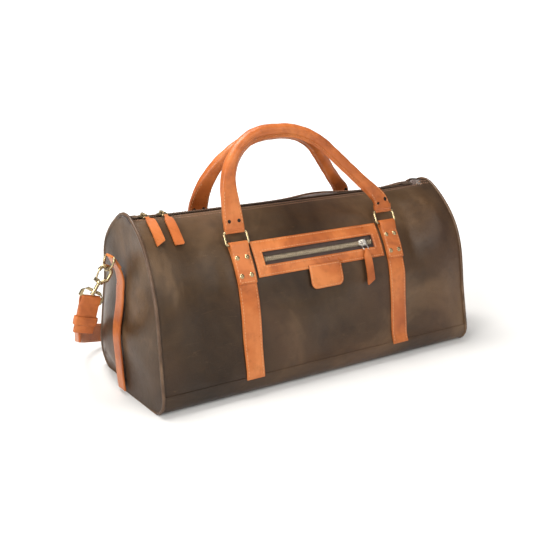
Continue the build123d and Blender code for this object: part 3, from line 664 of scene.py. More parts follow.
def body_panel(name, node, s_from, s_to, nx, ny, lift, thick, window=False):
    """A panel cut from s_from to s_to, end seam to end seam."""
    panel = cut_sheet(name, nx, ny)
    p = get_points(panel)
    s = s_from + (s_to - s_from) * p[:, 1]
    left, right = end_x("left", s), end_x("right", s)
    x = left + (right - left) * p[:, 0]
    gape = 0.0075 * mound(x, 0.055, 0.055) * (1 - fade(np.abs(s), 0.007, 0.05))
    s = s - np.where(s < 0, gape, 0.0) * (s_from < 0)
    set_points(panel, np.stack([x, s, 0 * x], -1))
    if window:
        cut_window(panel)
    p = get_points(panel)
    edge = np.minimum(end_x("right", p[:, 1]) - p[:, 0], p[:, 0] - end_x("left", p[:, 1]))
    seam = -0.0010 * np.exp(-np.clip(edge, 0, 1) / 0.004)
    set_points(panel, on_bag(p[:, 0], p[:, 1], lift + seam))
    if s_to > s_from:
        flip(panel)
    thicken(panel, thick)
    finish_piece(panel, "root", [DARK], 50)
    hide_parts(node)


def take_out(piece, x_span, y_span):
    """Deletes the faces whose middles lie in an opening."""
    activate(piece)
    bpy.ops.object.mode_set(mode="EDIT")
    bpy.ops.mesh.select_mode(type="FACE")
    bpy.ops.mesh.select_all(action="DESELECT")
    bpy.ops.object.mode_set(mode="OBJECT")
    for face in piece.data.polygons:
        c = face.center
        face.select = bool(x_span[0] < c.x < x_span[1] and y_span[0] < c.y < y_span[1])
    bpy.ops.object.mode_set(mode="EDIT")
    bpy.ops.mesh.delete(type="FACE")
    bpy.ops.object.mode_set(mode="OBJECT")


def cut_window(panel):
    """Cuts out the slot behind the pocket zip."""
    across = WINDOW_X + 0.002
    take_out(panel, (-across, across), (WINDOW_S[0] - 0.001, WINDOW_S[1] + 0.001))


def leather_body():
    body_panel("bag_front", "front_panel", MOUTH, S_SEAM + 0.003, 190, 72, -0.0001, WALL, window=True)
    body_panel("bag_back", "back_panel", -MOUTH, -S_SEAM - 0.003, 150, 60, -0.0001, WALL)
    body_panel("bag_base", "base_panel", S_SEAM - 0.002, 2 * GIRTH - S_SEAM + 0.002, 150, 90, 0.0009, WALL)


def half_width(z):
    """Half the width of an end panel at height z."""
    span = np.linspace(0, GIRTH, 1500)
    y, height = section(span)[:2]
    return np.interp(z, height[::-1], -y[::-1])


def end_frame(side):
    """Foot of an end panel, its outward direction and its upward direction."""
    lean, sign = END_LEAN[side], SIGN[side]
    foot = np.array([sign * HALF_LONG, 0.0, 0.0])
    out = np.array([sign * math.cos(lean), 0.0, math.sin(lean)])
    up = np.array([-sign * math.sin(lean), 0.0, math.cos(lean)])
    return foot, out, up


def bulge(y, z):
    """How far an end panel swells outwards, and its soft hollows."""
    reach = np.clip(1 - (y / np.maximum(half_width(z), 0.001)) ** 2, 0, 1)
    full = 9.0 * mound(z, 0.083, 0.058) * reach ** 0.8
    folds = 1.1 * np.sin(55 * y + 20 * z) * np.sin(38 * z + 0.6) * reach
    folds += 0.7 * np.sin(90 * z - 35 * y) * reach
    return (full + folds * (1 - fade(z, 0.135, 0.16))) * MM


def on_end(side, y, z, h):
    foot, out, up = end_frame(side)
    tall = z / math.cos(END_LEAN[side])
    across = np.stack([0 * y, y, 0 * y], -1)
    return foot + np.multiply.outer(tall, up) + np.multiply.outer(h + bulge(y, z), out) + across


def end_panel(side):
    panel = cut_sheet(f"bag_end_{side}", 60, 90)
    p = get_points(panel)
    t = 0.5 - 0.5 * np.cos(math.pi * p[:, 1])
    z = 0.0008 + (RIDGE_Z - 0.0016) * t
    across = np.sin(math.pi / 2 * (2 * p[:, 0] - 1))
    y = across * np.maximum(half_width(z) - 0.0008, 0)
    points = on_end(side, y, z, np.full_like(y, -0.0006))
    rim = np.linspace(-GIRTH, GIRTH, 700)
    rim_y, rim_z, rim_ny, rim_nz = section(rim)
    apart = np.hypot(y[:, None] - rim_y, z[:, None] - rim_z)
    near = apart.argmin(1)
    pull_out = np.exp(-(apart.min(1) / 0.030) ** 2)
    seam = end_x(side, rim)
    straight = SIGN[side] * (HALF_LONG - rim_z * math.tan(END_LEAN[side]))
    lift = crown(seam, rim)
    points[:, 0] += (seam - straight)[near] * pull_out
    points[:, 1] += (rim_ny * lift)[near] * pull_out
    points[:, 2] += (rim_nz * lift)[near] * pull_out
    set_points(panel, points)
    edit_all(panel, lambda: bpy.ops.mesh.remove_doubles(threshold=0.00005))
    if side == "left":
        flip(panel)
    thicken(panel, WALL)
    finish_piece(panel, "root", [DARK], 60)
    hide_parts(f"{side}_end_panel")


def piping(side):
    """The rolled welt round an end, one closed loop."""
    welt = cut_tube(f"welt_{side}", 12, 420)
    p = get_points(welt)
    s = -GIRTH + 2 * GIRTH * p[:, 1]
    radius = 0.0022
    sign = SIGN[side]
    x = end_x(side, s) - sign * 0.0013 + sign * radius * p[:, 0]
    y, z, ny, nz = section(s)
    lift = 0.0001 + radius * p[:, 2] + crown(end_x(side, s), s)
    points = np.stack([x, y + ny * lift, np.maximum(z + nz * lift, 0.0003)], -1)
    set_points(welt, points)
    edit_all(welt, lambda: bpy.ops.mesh.remove_doubles(threshold=0.00002))
    outward(welt)
    finish_piece(welt, "root", [PIPE], 60)
    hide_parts(f"{side}_piping")


def lining_bag():
    """The cloth inside, following the leather."""
    cloth = cut_sheet("lining_cloth", 120, 100)
    p = get_points(cloth)
    s = 0.0085 + (2 * GIRTH - 0.017) * p[:, 1]
    left, right = end_x("left", s) + 0.004, end_x("right", s) - 0.004
    set_points(cloth, np.stack([left + (right - left) * p[:, 0], s, 0 * s], -1))
    cut_window(cloth)
    p = get_points(cloth)
    y, z, ny, nz = section(p[:, 1])
    lift = swell(p[:, 0], p[:, 1]) - 0.0036
    set_points(cloth, np.stack([p[:, 0], y + ny * lift, z + nz * lift], -1))
    flip(cloth)
    thicken(cloth, 0.0006)
    finish_piece(cloth, "root", [LINING_CLOTH], 60)
    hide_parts("lining")


# ---- flat leather ----
def slice_at(axis, value):
    """In edit mode, cuts every face where it crosses one value of an axis."""
    place, turn = [0.0, 0.0, 0.0], [0.0, 0.0, 0.0]
    place[axis] = value
    turn[axis] = 1.0
    bpy.ops.mesh.select_all(action="SELECT")
    bpy.ops.mesh.bisect(plane_co=place, plane_no=turn)


def leather_cut(name, width, length, materials, corners=(), round_by=0.004, step=0.006):
    """A flat piece of leather with no thickness yet, x across, y from 0 to length."""
    piece = start_piece(name, bpy.ops.mesh.primitive_plane_add, size=1.0)
    for material in materials:
        piece.data.materials.append(material)
    bpy.ops.object.mode_set(mode="EDIT")
    bpy.ops.mesh.select_all(action="SELECT")
    bpy.ops.transform.resize(value=(width, length, 1))
    bpy.ops.transform.translate(value=(0, length / 2, 0))
    if corners:
        bpy.ops.mesh.select_mode(type="VERT")
        bpy.ops.mesh.select_all(action="DESELECT")
        bpy.ops.object.mode_set(mode="OBJECT")
        for vertex in piece.data.vertices:
            end = "low" if vertex.co.y < length / 2 else "high"
            vertex.select = end in corners
        bpy.ops.object.mode_set(mode="EDIT")
        bpy.ops.mesh.bevel(offset=round_by, segments=7, affect="VERTICES")
    for axis, low, high in ((0, -width / 2, width / 2), (1, 0.0, length)):
        count = max(1, int((high - low) / step))
        for i in range(1, count):
            slice_at(axis, low + (high - low) * i / count)
    bpy.ops.object.mode_set(mode="OBJECT")
    return piece


def give_thickness(piece, thick, upwards=1.0):
    """Thickness above (1) or below (-1) a flat piece, its cut edge in the second material and eased."""
    activate(piece)
    solid = piece.modifiers.new("thickness", "SOLIDIFY")
    solid.thickness = thick
    solid.offset = upwards
    solid.material_offset_rim = 1
    bpy.ops.object.modifier_apply(modifier=solid.name)
    ease = piece.modifiers.new("edge", "BEVEL")
    ease.width = 0.0006
    ease.segments = 2
    ease.limit_method = "ANGLE"
    ease.angle_limit = RAD(50)
    bpy.ops.object.modifier_apply(modifier=ease.name)


def cut_opening(piece, x_span, y_span):
    """Slices along an opening's four sides and takes the middle out."""
    activate(piece)
    bpy.ops.object.mode_set(mode="EDIT")
    for axis, span in ((0, x_span), (1, y_span)):
        for value in span:
            slice_at(axis, value)
    bpy.ops.object.mode_set(mode="OBJECT")
    take_out(piece, x_span, y_span)


def box_line(x_half, y_low, y_high, inset=0.0):
    """Four straight lines round a rectangle."""
    x, low, high = x_half - inset, y_low + inset, y_high - inset
    corners = [(-x, low), (x, low), (x, high), (-x, high), (-x, low)]
    return [[a, b] for a, b in zip(corners, corners[1:])]


def from_top(s_top, lift):
    """Lays a flat piece on the front with its y measured down the pattern from s_top."""
    return lambda x, y, z: on_bag(np.asarray(x), s_top + np.asarray(y), np.asarray(z) + lift)


# ---- zips ----
MAIN_CHAIN_X = (-0.252, 0.222)
CHAIN_TOP = RIDGE_Z - 0.0024 + 0.0026
TAB_ACROSS = 0.0124


def teeth(name, node, x_span, pitch, size, wide, metal_finish, place):
    """Two rows of teeth that mesh along the middle of the chain."""
    rows = []
    count = int((x_span[1] - x_span[0]) / pitch)
    for side, shift in ((1, 0.0), (-1, 0.5)):
        row = row_of("tooth", count, pitch / size[0])
        p = get_points(row)
        along = x_span[0] + p[:, 1] * size[0] + (shift + 0.5) * pitch
        across = p[:, 0] * size[1] + side * (wide / 2 - size[1] / 2)
        set_points(row, place(along, across, p[:, 2] * size[2]))
        rows.append(row)
    chain = join(name, rows)
    outward(chain)
    finish_piece(chain, "root", [metal_finish], 40)
    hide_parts(node)


def cloth_strip(name, node, x_span, s_span, h, slices):
    strip = cut_sheet(name, slices, 8)
    p = get_points(strip)
    x = x_span[0] + (x_span[1] - x_span[0]) * p[:, 0]
    s = s_span[0] + (s_span[1] - s_span[0]) * p[:, 1]
    y, z, ny, nz = section(s)
    lift = h + swell(x, s)
    set_points(strip, np.stack([x, y + ny * lift, z + nz * lift], -1))
    if s_span[1] > s_span[0]:
        flip(strip)
    thicken(strip, 0.0005)
    finish_piece(strip, "root", [TAPE_CLOTH], 50)
    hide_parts(node)


def main_zip():
    for row, sign in ROW.items():
        s_span = (sign * 0.0004, sign * 0.017)
        cloth_strip(f"zip_tape_{row}", f"main_zip_tape_{row}", (-0.2625, 0.2500), s_span, -0.0026, 120)
    middle = CHAIN_TOP - 0.0013
    teeth("zip_teeth", "main_zip_chain", MAIN_CHAIN_X, 0.0026, (0.0013, 0.0040, 0.0022), 0.006, TEETH_DARK,
          lambda x, y, z: np.stack([x, y, z + middle], -1))
    rows = []
    for sign in ROW.values():
        for inset in (0.0025, 0.0068):
            s = sign * (MOUTH + inset)
            left, right = float(end_x("left", s)) + 0.006, float(end_x("right", s)) - 0.006
            rows.append([(left, s), (right, s)])
    sew("zip_stitches", rows, on_bag, "root", DARK_THREAD)
    tabs = []
    half = TAB_ACROSS / 2
    for low, high in ((-0.252, -0.243), (0.210, 0.226)):
        tab = leather_cut("tab", high - low, TAB_ACROSS, [DARK, DARK_EDGE], ("low", "high"), 0.002, 0.003)
        give_thickness(tab, 0.0020)
        x, y, z = get_points(tab).T
        arch = 0.0006 * (1 - ((y - half) / half) ** 2) * (z > 0.001)
        set_points(tab, np.stack([(low + high) / 2 + x, y - half, CHAIN_TOP + 0.0001 + z + arch], -1))
        tabs.append(tab)
    ends = join("zip_end_tabs", tabs)
    finish_piece(ends, "root", [DARK])
    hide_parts("main_zip_end_tabs")


def stud_cap(name, radius, easing):
    """A flat round stud with an eased rim."""
    stud = start_piece(name, bpy.ops.mesh.primitive_cylinder_add, vertices=20, radius=radius, depth=0.0012)
    edit_all(stud, lambda: bpy.ops.mesh.bevel(offset=easing, segments=3, affect="EDGES"))
    return stud


def pull(name, node, body, x, wire, s_start, s_stop, lift, wide, thick, slant=0.0):
    """A folded leather pull: up from its tip, narrow round the link's wire, and back down."""
    half = thick / 2
    tongue = np.linspace(s_stop, s_start, 24)
    y, z, ny, nz = section(tongue)
    off = lift + half + np.maximum.reduce([swell(x + d, tongue) for d in (-wide / 2, 0.0, wide / 2)])
    inner = np.stack([y + ny * (off - 0.00003), z + nz * (off - 0.00003)], -1)
    outer = np.stack([y + ny * (off + 0.00003), z + nz * (off + 0.00003)], -1)
    run = inner[-1] - np.asarray(wire)
    away = math.atan2(run[1], run[0])
    bore = 0.00095
    around_wire = arc(wire, bore, away + RAD(50), away + RAD(310), 18)
    first = np.asarray(around_wire[0])
    last = np.asarray(around_wire[-1])
    if np.linalg.norm(first - inner[-1]) > np.linalg.norm(last - inner[-1]) + 1e-7 or first[1] > last[1]:
        around_wire = around_wire[::-1]
    line = list(inner) + list(around_wire) + list(outer[::-1])
    points = np.array([(x, a, b) for a, b in line])
    place, length = rail(points, (1, 0, 0))
    strip = cut_strip(name, 1.0, length, half, 130, 0.0003, 6)
    p = get_points(strip)
    tip = np.minimum(p[:, 1], length - p[:, 1])
    neck = length / 2 - 0.0085
    w = np.interp(tip, [0, 0.0006, 0.0016, neck - 0.007, neck - 0.001, neck + 0.002, length], [
        wide * 0.80, wide * 0.95, wide, wide * 0.96, wide * 0.80, 0.0054, 0.0054])
    move = slant * np.clip(p[:, 0] + 0.5, 0, 1) * np.clip(1 - tip / 0.012, 0, 1)
    y = np.where(p[:, 1] < length / 2, p[:, 1] + move, p[:, 1] - move)
    set_points(strip, place(p[:, 0] * w, y, p[:, 2]))
    outward(strip)
    finish_piece(strip, body, [TAN])
    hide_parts(node)
    top = length - 0.0028
    bottom = length / 2 + 0.0155
    margin = wide / 2 - 0.0022
    runs = [[(-margin, bottom), (-margin, top)], [(margin, bottom), (margin, top - slant)]]
    sew_tan(f"{name}_stitches", runs, lambda a, b, c: place(a, b, c + half), body, -0.0001)
    stud = stud_cap(f"{name}_stud", 0.0019, 0.00045)
    lay(stud, lambda a, b, c: place(a, b + bottom - 0.0025, c + half + 0.0001))
    outward(stud)
    finish_piece(stud, body, [BRASS], 30)


def main_pulls():
    fall = RAD(7.0)
    wire = (-0.011 * math.cos(fall), CHAIN_TOP + 0.0031 - 0.011 * math.sin(fall))
    start = s_at(section(RUNS[0] + SIDE_R * RAD(1.0))[1])
    for side, x in (("left", -0.235), ("right", -0.208)):
        slant = 0.006 if side == "left" else 0.0
        pull(f"zip_pull_{side}", f"main_pull_{side}", f"main_pull_{side}", x, wire, start, start + 0.040,
             0.0012, 0.0135, 0.0021, slant)


# ---- the outside pocket ----
def pocket():
    low, high = S_POCKET
    tall = high - low
    frame_cut = leather_cut("pocket_surround", 0.216, tall, [TAN, TAN_EDGE], step=0.008)
    window = (WINDOW_S[0] - low, WINDOW_S[1] - low)
    cut_opening(frame_cut, (-WINDOW_X, WINDOW_X), window)
    flip(frame_cut)
    give_thickness(frame_cut, 0.0020, -1.0)
    place = from_top(low, 0.00005)
    lay(frame_cut, place)
    outward(frame_cut)
    finish_piece(frame_cut, "root", [TAN])
    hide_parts("pocket_frame")
    runs = box_line(0.108, 0, tall, 0.0024)
    runs += box_line(WINDOW_X + 0.0044, window[0] - 0.0044, window[1] + 0.0044, 0.0020)
    sew_tan("pocket_surround_stitches", runs, place, height=0.0020)
    top = s_at(0.157)
    long = s_at(0.126) - top
    patch = leather_cut("pocket_label_blank", 0.055, long, [TAN, TAN_EDGE], ("high",), 0.009, 0.005)
    flip(patch)
    give_thickness(patch, 0.0018, -1.0)
    lay(patch, from_top(top, 0.0022))
    outward(patch)
    finish_piece(patch, "root", [TAN])
    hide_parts("pocket_patch")
    edge = 0.0022
    x = 0.0275 - edge
    curve = arc((0.0275 - 0.009, long - 0.009), 0.009 - edge, 0, math.pi / 2, 8)
    line = [(x, 0.0022)] + curve + [(-a, b) for a, b in curve[::-1]] + [(-x, 0.0022)]
    runs = [line, [(-x, edge), (x, edge)]]
    sew_tan("pocket_label_stitches", runs, from_top(top, 0.0022), height=0.0018)
    cloth_strip("pocket_tape", "pocket_zip_tape", (-0.101, 0.101), (s_at(0.188), s_at(0.1605)), -0.0025, 40)
    middle = s_at((0.1665 + 0.182) / 2)
    teeth("pocket_teeth", "pocket_zip_chain", (-0.093, 0.093), 0.0030, (0.0016, 0.0046, 0.0018), 0.0076,
          TEETH_METAL, lambda a, b, c: on_bag(a, middle + b, c - 0.0012))
    y, z, ny, nz = section(middle)
    rise = RAD(12.0)
    down = np.array([-float(nz), float(ny)])
    out = np.array([float(ny), float(nz)])
    centre = np.array([float(y), float(z)])
    wire = centre + out * (0.0030 + 0.011 * math.sin(rise)) + down * 0.011 * math.cos(rise)
    start = s_at(float(wire[1]) - 0.005)
    pull("pocket_pull_tongue", "pocket_pull", "pocket_pull", 0.075, tuple(wire), start, start + 0.047, 0.0046,
         0.0125, 0.0021, 0.006)


# ---- straps that carry the handles ----
STRAP_WIDE = 0.028
LEATHER = 0.0024
RING_LIFT = 0.0045
LOOP = 0.00195


def handle_strap(row, side):
    sign = ROW[row]
    x = SIGN[side] * STRAP_X
    foot, fold = S_SEAM + 0.0012, s_at(0.148)
    ring = s_at(0.1937)
    line = [(0, s, 0.00250) for s in np.linspace(foot, ring, 60)]
    loop = arc((ring, RING_LIFT), LOOP, -math.pi / 2, -3 * math.pi / 2, 20)
    line += [(0, a, b) for a, b in loop]
    falling = zip(np.linspace(ring + 0.002, ring + 0.013, 8), np.linspace(0.0060, 0.00256, 8))
    line += [(0, s, h) for s, h in falling]
    line += [(0, s, 0.00256) for s in np.linspace(ring + 0.015, fold, 20)]
    place, length = rail(line, (1, 0, 0))
    strap = cut_strip(f"handle_strap_{row}_{side}", STRAP_WIDE, length, LEATHER, 150, 0.0007, 5)

    def on_row(a, b, c):
        flat = place(a, b, c)
        return on_bag(flat[:, 0] * sign + x, sign * flat[:, 1], flat[:, 2])

    lay(strap, on_row)
    outward(strap)
    finish_piece(strap, "root", [TAN])
    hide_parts(f"strap_{row}_{side}")
    margin = STRAP_WIDE / 2 - LEATHER
    runs = [[(m, 0.002), (m, foot - fold - 0.001)] for m in (-margin, margin)]
    sew_tan(f"handle_strap_edge_{row}_{side}", runs, lambda a, b, c: on_row(a, b, -c))
    tail = length - LEATHER
    top = length - (fold - ring) + 0.010
    corners = [(-margin, top), (-margin, tail), (margin, tail), (margin, top)]
    runs = [[a, b] for a, b in zip(corners, corners[1:])]
    sew_tan(f"handle_strap_box_{row}_{side}", runs, lambda a, b, c: on_row(a, b, c + LEATHER))


# ---- handles ----
HANDLES = {
    "front": dict(lean=RAD(16.5), top=0.129, left_r=0.076, right_r=0.110, fall=RAD(44), toe_r=0.030),
    "back": dict(lean=RAD(18.0), top=0.122, left_r=0.103, right_r=0.095, fall=RAD(48), toe_r=0.025),
}
RING_HEAD = (0.050164, 0.211587)
TOE = 0.004


def handle_line(top, left_r, right_r, fall, toe_r, **_):
    leg = top - left_r
    toe = TOE + toe_r * math.cos(fall)
    run = (top - right_r * (1 - math.cos(fall)) - toe) / math.sin(fall)
    crest = STRAP_X - right_r * math.sin(fall) - run * math.cos(fall) - toe_r * (1 - math.sin(fall))
    points = [(-STRAP_X, v) for v in np.linspace(0.0035, leg - 0.001, 14)]
    points += arc((-STRAP_X + left_r, leg), left_r, math.pi, math.pi / 2, 40)
    points += [(v, top) for v in np.linspace(-STRAP_X + left_r, crest, 10)[1:-1]]
    points += arc((crest, top - right_r), right_r, math.pi / 2, math.pi / 2 - fall, 30)
    end = np.array(points[-1])
    away = np.array([math.cos(fall), -math.sin(fall)])
    points += [tuple(end + away * d) for d in np.linspace(0.004, run - 0.002, 12)]
    points += arc((STRAP_X - toe_r, TOE), toe_r, math.pi / 2 - fall, 0, 16)
    return np.array(points)


def handle(row):
    shape = HANDLES[row]
    sign = ROW[row]
    flat = handle_line(**shape)
    lean = shape["lean"]
    up = np.array([0, sign * math.sin(lean), math.cos(lean)])
    base = np.array([0, -sign * RING_HEAD[0], RING_HEAD[1]])
    points = base + np.multiply.outer(flat[:, 1], up) + np.multiply.outer(flat[:, 0], np.array([1.0, 0, 0]))
    tangent = np.gradient(flat, axis=0)
    tangent /= np.linalg.norm(tangent, axis=1)[:, None]
    sides = np.multiply.outer(tangent[:, 1], np.array([1.0, 0, 0])) - np.multiply.outer(tangent[:, 0], up)
    place, length = rail(points, sides)

    def half_across(y):
        left = np.interp(y, [0, 0.018, 0.044, 0.070, 0.100], [0.0148, 0.0148, 0.0122, 0.0098, 0.0083])
        right = np.interp(length - y, [0, 0.012, 0.034, 0.060], [0.0135, 0.0125, 0.0095, 0.0083])
        return np.maximum(left, right)

    def half_thick(y):
        left = np.interp(y, [0, 0.030, 0.055, 0.095], [0.0026, 0.0028, 0.0056, 0.0083])
        right = np.interp(length - y, [0, 0.020, 0.036, 0.058], [0.0026, 0.0028, 0.0056, 0.0083])
        return np.minimum(left, right)

    def skin(y, turn, extra=0.0):
        a, b = half_across(y), half_thick(y)
        square = 2 + 6 * np.clip((a / b - 1.0) / 3, 0, 1)
        c, s = np.cos(turn), np.sin(turn)
        r = (np.abs(c) ** square + np.abs(s) ** square) ** (-1 / square)
        rounded = np.clip((b - 0.003) / 0.005, 0, 1)
        wrinkle = 0.00025 * np.sin(y * 260 + 3 * np.sin(turn)) * np.sin(y * 71 + 1.0) * rounded
        seam = 0.0024 * np.exp(-(turn / RAD(9)) ** 2) * rounded
        return (a + seam + wrinkle + extra) * r * c, (b + wrinkle + extra) * r * s

    sleeve = cut_tube(f"grip_{row}", 44, 220)
    p = get_points(sleeve)
    turn = np.arctan2(p[:, 2], p[:, 0])
    y = p[:, 1] * length
    x, z = skin(y, turn)
    centre = np.hypot(p[:, 0], p[:, 2]) < 0.5
    set_points(sleeve, place(np.where(centre, 0, x), y, np.where(centre, 0, z)))
    outward(sleeve)
    finish_piece(sleeve, f"handle_{row}", [TAN], 60)
    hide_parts(f"handle_sleeve_{row}", f"handle_rope_{row}")
    rows = []
    for mark, spot in (("a", RAD(20)), ("b", RAD(-20))):
        def along_seam(a, b, c, spot=spot):
            u, v = skin(b, np.full_like(b, spot), 0.0001)
            return place(u + c * math.cos(spot), b, v + a + c * math.sin(spot))
        rows.append((f"grip_seam_{row}_{mark}", [[(0, 0.095), (0, length - 0.060)]], along_seam))
    for face, out in (("out", 1.0), ("in", -1.0)):
        def on_tab(a, b, c, out=out):
            return place(a, b, out * (half_thick(b) + c))
        runs = []
        for edge in (-1, 1):
            def beside(v, more=0.0, edge=edge):
                return edge * (float(half_across(v)) - 0.0024 - more)
            runs.append([(beside(v, 0.00012 * (v > 0.05)), v) for v in np.linspace(0.004, 0.052, 12)])
            runs.append([(beside(length - v), length - v) for v in np.linspace(0.004, 0.034, 9)])
        rows.append((f"grip_tab_stitches_{row}_{face}", runs, on_tab))
    for name, runs, where in rows:
        sew_tan(name, runs, where, f"handle_{row}")
    loops(row)
    studs(row, place, length)


def loops(row):
    """The leather folded round each ring's upper bar."""
    sign = ROW[row]
    lean = HANDLES[row]["lean"]
    up = np.array([0, sign * math.sin(lean), math.cos(lean)])
    face = np.array([0, -sign * math.cos(lean), math.sin(lean)])
    pieces = []
    for x in (-STRAP_X, STRAP_X):
        base = np.array([x, -sign * RING_HEAD[0], RING_HEAD[1]])
        flat = [(0.00015, v) for v in np.linspace(0.010, 0.0045, 4)]
        flat += arc((0, 0), LOOP, RAD(62), RAD(-242), 26)
        flat += [(-0.00015, v) for v in np.linspace(0.0045, 0.010, 4)]
        line = [base + face * a + up * b for a, b in flat]
        where, run = rail(line, (1, 0, 0))
        strip = cut_strip("loop", 0.0296, run, LEATHER, 40, 0.0006, 4)
        lay_clear(strip, lambda a, b, c: where(a, b, sign * c),
                  lambda q: np.linalg.norm(q[:, 1:] - base[1:], axis=1).max() >= 0.006)
        pieces.append(strip)
    both = join(f"grip_loops_{row}", pieces)
    outward(both)
    finish_piece(both, f"handle_{row}", [TAN])


def studs(row, place, length):
    """Blackened studs through the ends of a handle, two on each face of each end."""
    caps = []
    for y in (0.0105, length - 0.0105):
        for x in (-0.0075, 0.0075):
            for face in (-1, 1):
                cap = stud_cap("stud", 0.0025, 0.0004)
                p = get_points(cap)
                set_points(cap, place(p[:, 0] + x, p[:, 1] + y, face * (p[:, 2] + 0.0027)))
                caps.append(cap)
    both = join(f"grip_studs_{row}", caps)
    outward(both)
    finish_piece(both, f"handle_{row}", [BLACK_METAL], 30)
    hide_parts(f"handle_rivets_{row}")


# ---- the ends ----
END_TOP = 0.160
D_BAR = (0.020, 0.188)


def end_strap(side):
    """Strap up the middle of an end, standing off at the top to hold the D-ring."""
    thick = 0.0024
    foot = np.array([0.00005 + thick, END_TOP])
    bar = np.array(D_BAR)
    run = bar - foot
    away = math.atan2(run[1], run[0])
    line = []
    for z in np.linspace(0.0045, END_TOP - 0.016, 50):
        line.append((thick + 0.0001 + float(bulge(np.array(0.0), np.array(z))), z))
    start, knee = np.array(line[-1]), np.array([thick + 0.0008, END_TOP - 0.002])
    stop = foot + (bar - foot) * 0.42 - np.array([math.sin(away), -math.cos(away)]) * 0.0003
    for t in np.linspace(0.1, 1.0, 10):
        line.append(tuple((1 - t) ** 2 * start + 2 * t * (1 - t) * knee + t * t * stop))
    spread = RAD(28)
    loop = arc(bar, LOOP, away + math.pi - spread, away - math.pi + spread, 26)
    line += loop
    off = np.array([math.sin(away), -math.cos(away)]) * 0.0003
    for t in np.linspace(0.12, 0.54, 6):
        line.append(tuple(bar - run * t + off))
    origin, out, up = end_frame(side)
    points = [origin + out * a + up * (b / math.cos(END_LEAN[side]) if b < END_TOP else b) for a, b in line]
    sides = (0.0, SIGN[side], 0.0)
    place, length = rail(points, sides)
    strap = cut_strip(f"end_strap_leather_{side}", 0.020, length, thick, 130, 0.0006, 4)
    lay_clear(strap, place, lambda q: ((q - origin) @ out).min() >= -0.0012)
    outward(strap)
    finish_piece(strap, "root", [TAN])
    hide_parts(f"end_strap_{side}")
    margin = 0.0100 - 0.0022
    runs = [[(m, 0.003), (m, 0.140)] for m in (-margin, margin)] + [[(-margin, 0.003), (margin, 0.003)]]
    sew_tan(f"end_strap_stitches_{side}", runs, place)


RING_LEAN = RAD(19)        # the D-ring hangs out from its bar
RING_REACH = 0.005 + 0.013
HOOK_LEAN = RAD(33)
HOOK_SEAT = 0.0245 - 0.0023 - 0.0016 - 0.0008
HOOK_REACH = 0.024 - 0.002
HANG = RAD(14)             # the strap's end turns up from its bar


def bar_frame(side):
    """Where the shoulder strap's end hangs: its bar, its across, its upward and its thin direction."""
    origin, out, up = end_frame(side)
    u, z = D_BAR
    for reach, lean in ((RING_REACH, RING_LEAN), (HOOK_SEAT, HOOK_LEAN), (HOOK_REACH, HOOK_LEAN)):
        u, z = u + reach * math.sin(lean), z - reach * math.cos(lean)
    across = out * math.cos(HANG) + up * math.sin(HANG)
    rise = up * math.cos(HANG) - out * math.sin(HANG)
    return origin + out * u + up * z, across, rise, np.array([0.0, 1.0, 0.0])


def strap_ends(side):
    bar, across, rise, thin = bar_frame(side)
    foot = -0.0449
    flat = [(0.0001, v) for v in np.linspace(foot, -0.0085, 18)]
    flat += [(0.0012, -0.0050), (0.0020, -0.0026), (0.0020, 0.0004)]
    flat += arc((0, 0.0004), 0.0020, 0, math.pi, 16)[1:]
    flat += [(-0.0020, -0.0026), (-0.0012, -0.0050)]
    flat += [(-0.0001, v) for v in np.linspace(-0.0085, foot, 18)]
    line = [bar + thin * a + rise * b for a, b in flat]
    place, length = rail(line, across)
    strip = cut_strip(f"strap_end_{side}", 0.026, length, 0.0026, 90, 0.0007, 5)
    lay_clear(strip, place, lambda q: np.abs(q[:, 1]).max() >= 0.0035)
    outward(strip)
    finish_piece(strip, "root", [TAN])
    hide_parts(f"shoulder_strap_end_{side}")
    middle = -0.0023 - 0.0026 - 0.024
    wide, deep = 0.0139, 0.0030
    corner = 0.0010
    ring = []
    for cx, cy, start in ((1, 1, 0), (-1, 1, 90), (-1, -1, 180), (1, -1, 270)):
        ring += arc((cx * (wide - corner), cy * (deep - corner)), corner, RAD(start), RAD(start + 90), 5)
    ring = ring[2:] + ring[:3]
    line = [bar + across * a + thin * b + rise * middle for a, b in ring]
    where, run = rail(line, rise)
    keeper = cut_strip(f"strap_keeper_{side}", 0.011, run, 0.0016, 90, 0.0005, 2)
    lay_clear(keeper, where, lambda q: np.abs((q - bar) @ across).max() >= wide + 0.0008)
    outward(keeper)
    finish_piece(keeper, "root", [TAN])
    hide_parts(f"shoulder_strap_keeper_{side}")
    return strip, keeper


ROUTE = [
    (-0.326, 0.0044, 0.094), (-0.318, 0.042, 0.082), (-0.296, 0.078, 0.067), (-0.281, 0.120, 0.048),
    (-0.254, 0.155, 0.031), (-0.207, 0.176, 0.018), (-0.148, 0.184, 0.0141), (-0.082, 0.181, 0.0141),
    (-0.018, 0.172, 0.0141), (0.050, 0.167, 0.0141), (0.120, 0.172, 0.0141), (0.185, 0.171, 0.016),
    (0.238, 0.152, 0.028), (0.273, 0.118, 0.046), (0.292, 0.079, 0.064), (0.312, 0.043, 0.081),
    (0.322, 0.0044, 0.0955),
]


def route_points():
    curve = bpy.data.curves.new("route", "CURVE")
    curve.dimensions = "3D"
    spline = curve.splines.new("NURBS")
    spline.points.add(len(ROUTE) - 1)
    for point, place in zip(spline.points, ROUTE):
        point.co = (*place, 1.0)
    spline.order_u = 3
    spline.use_endpoint_u = True
    spline.resolution_u = 12
    holder = bpy.data.objects.new("route", curve)
    bpy.context.collection.objects.link(holder)
    mesh = bpy.data.meshes.new_from_object(holder)
    points = np.array([vertex.co[:] for vertex in mesh.vertices])
    bpy.data.objects.remove(holder, do_unlink=True)
    bpy.data.meshes.remove(mesh)
    return points


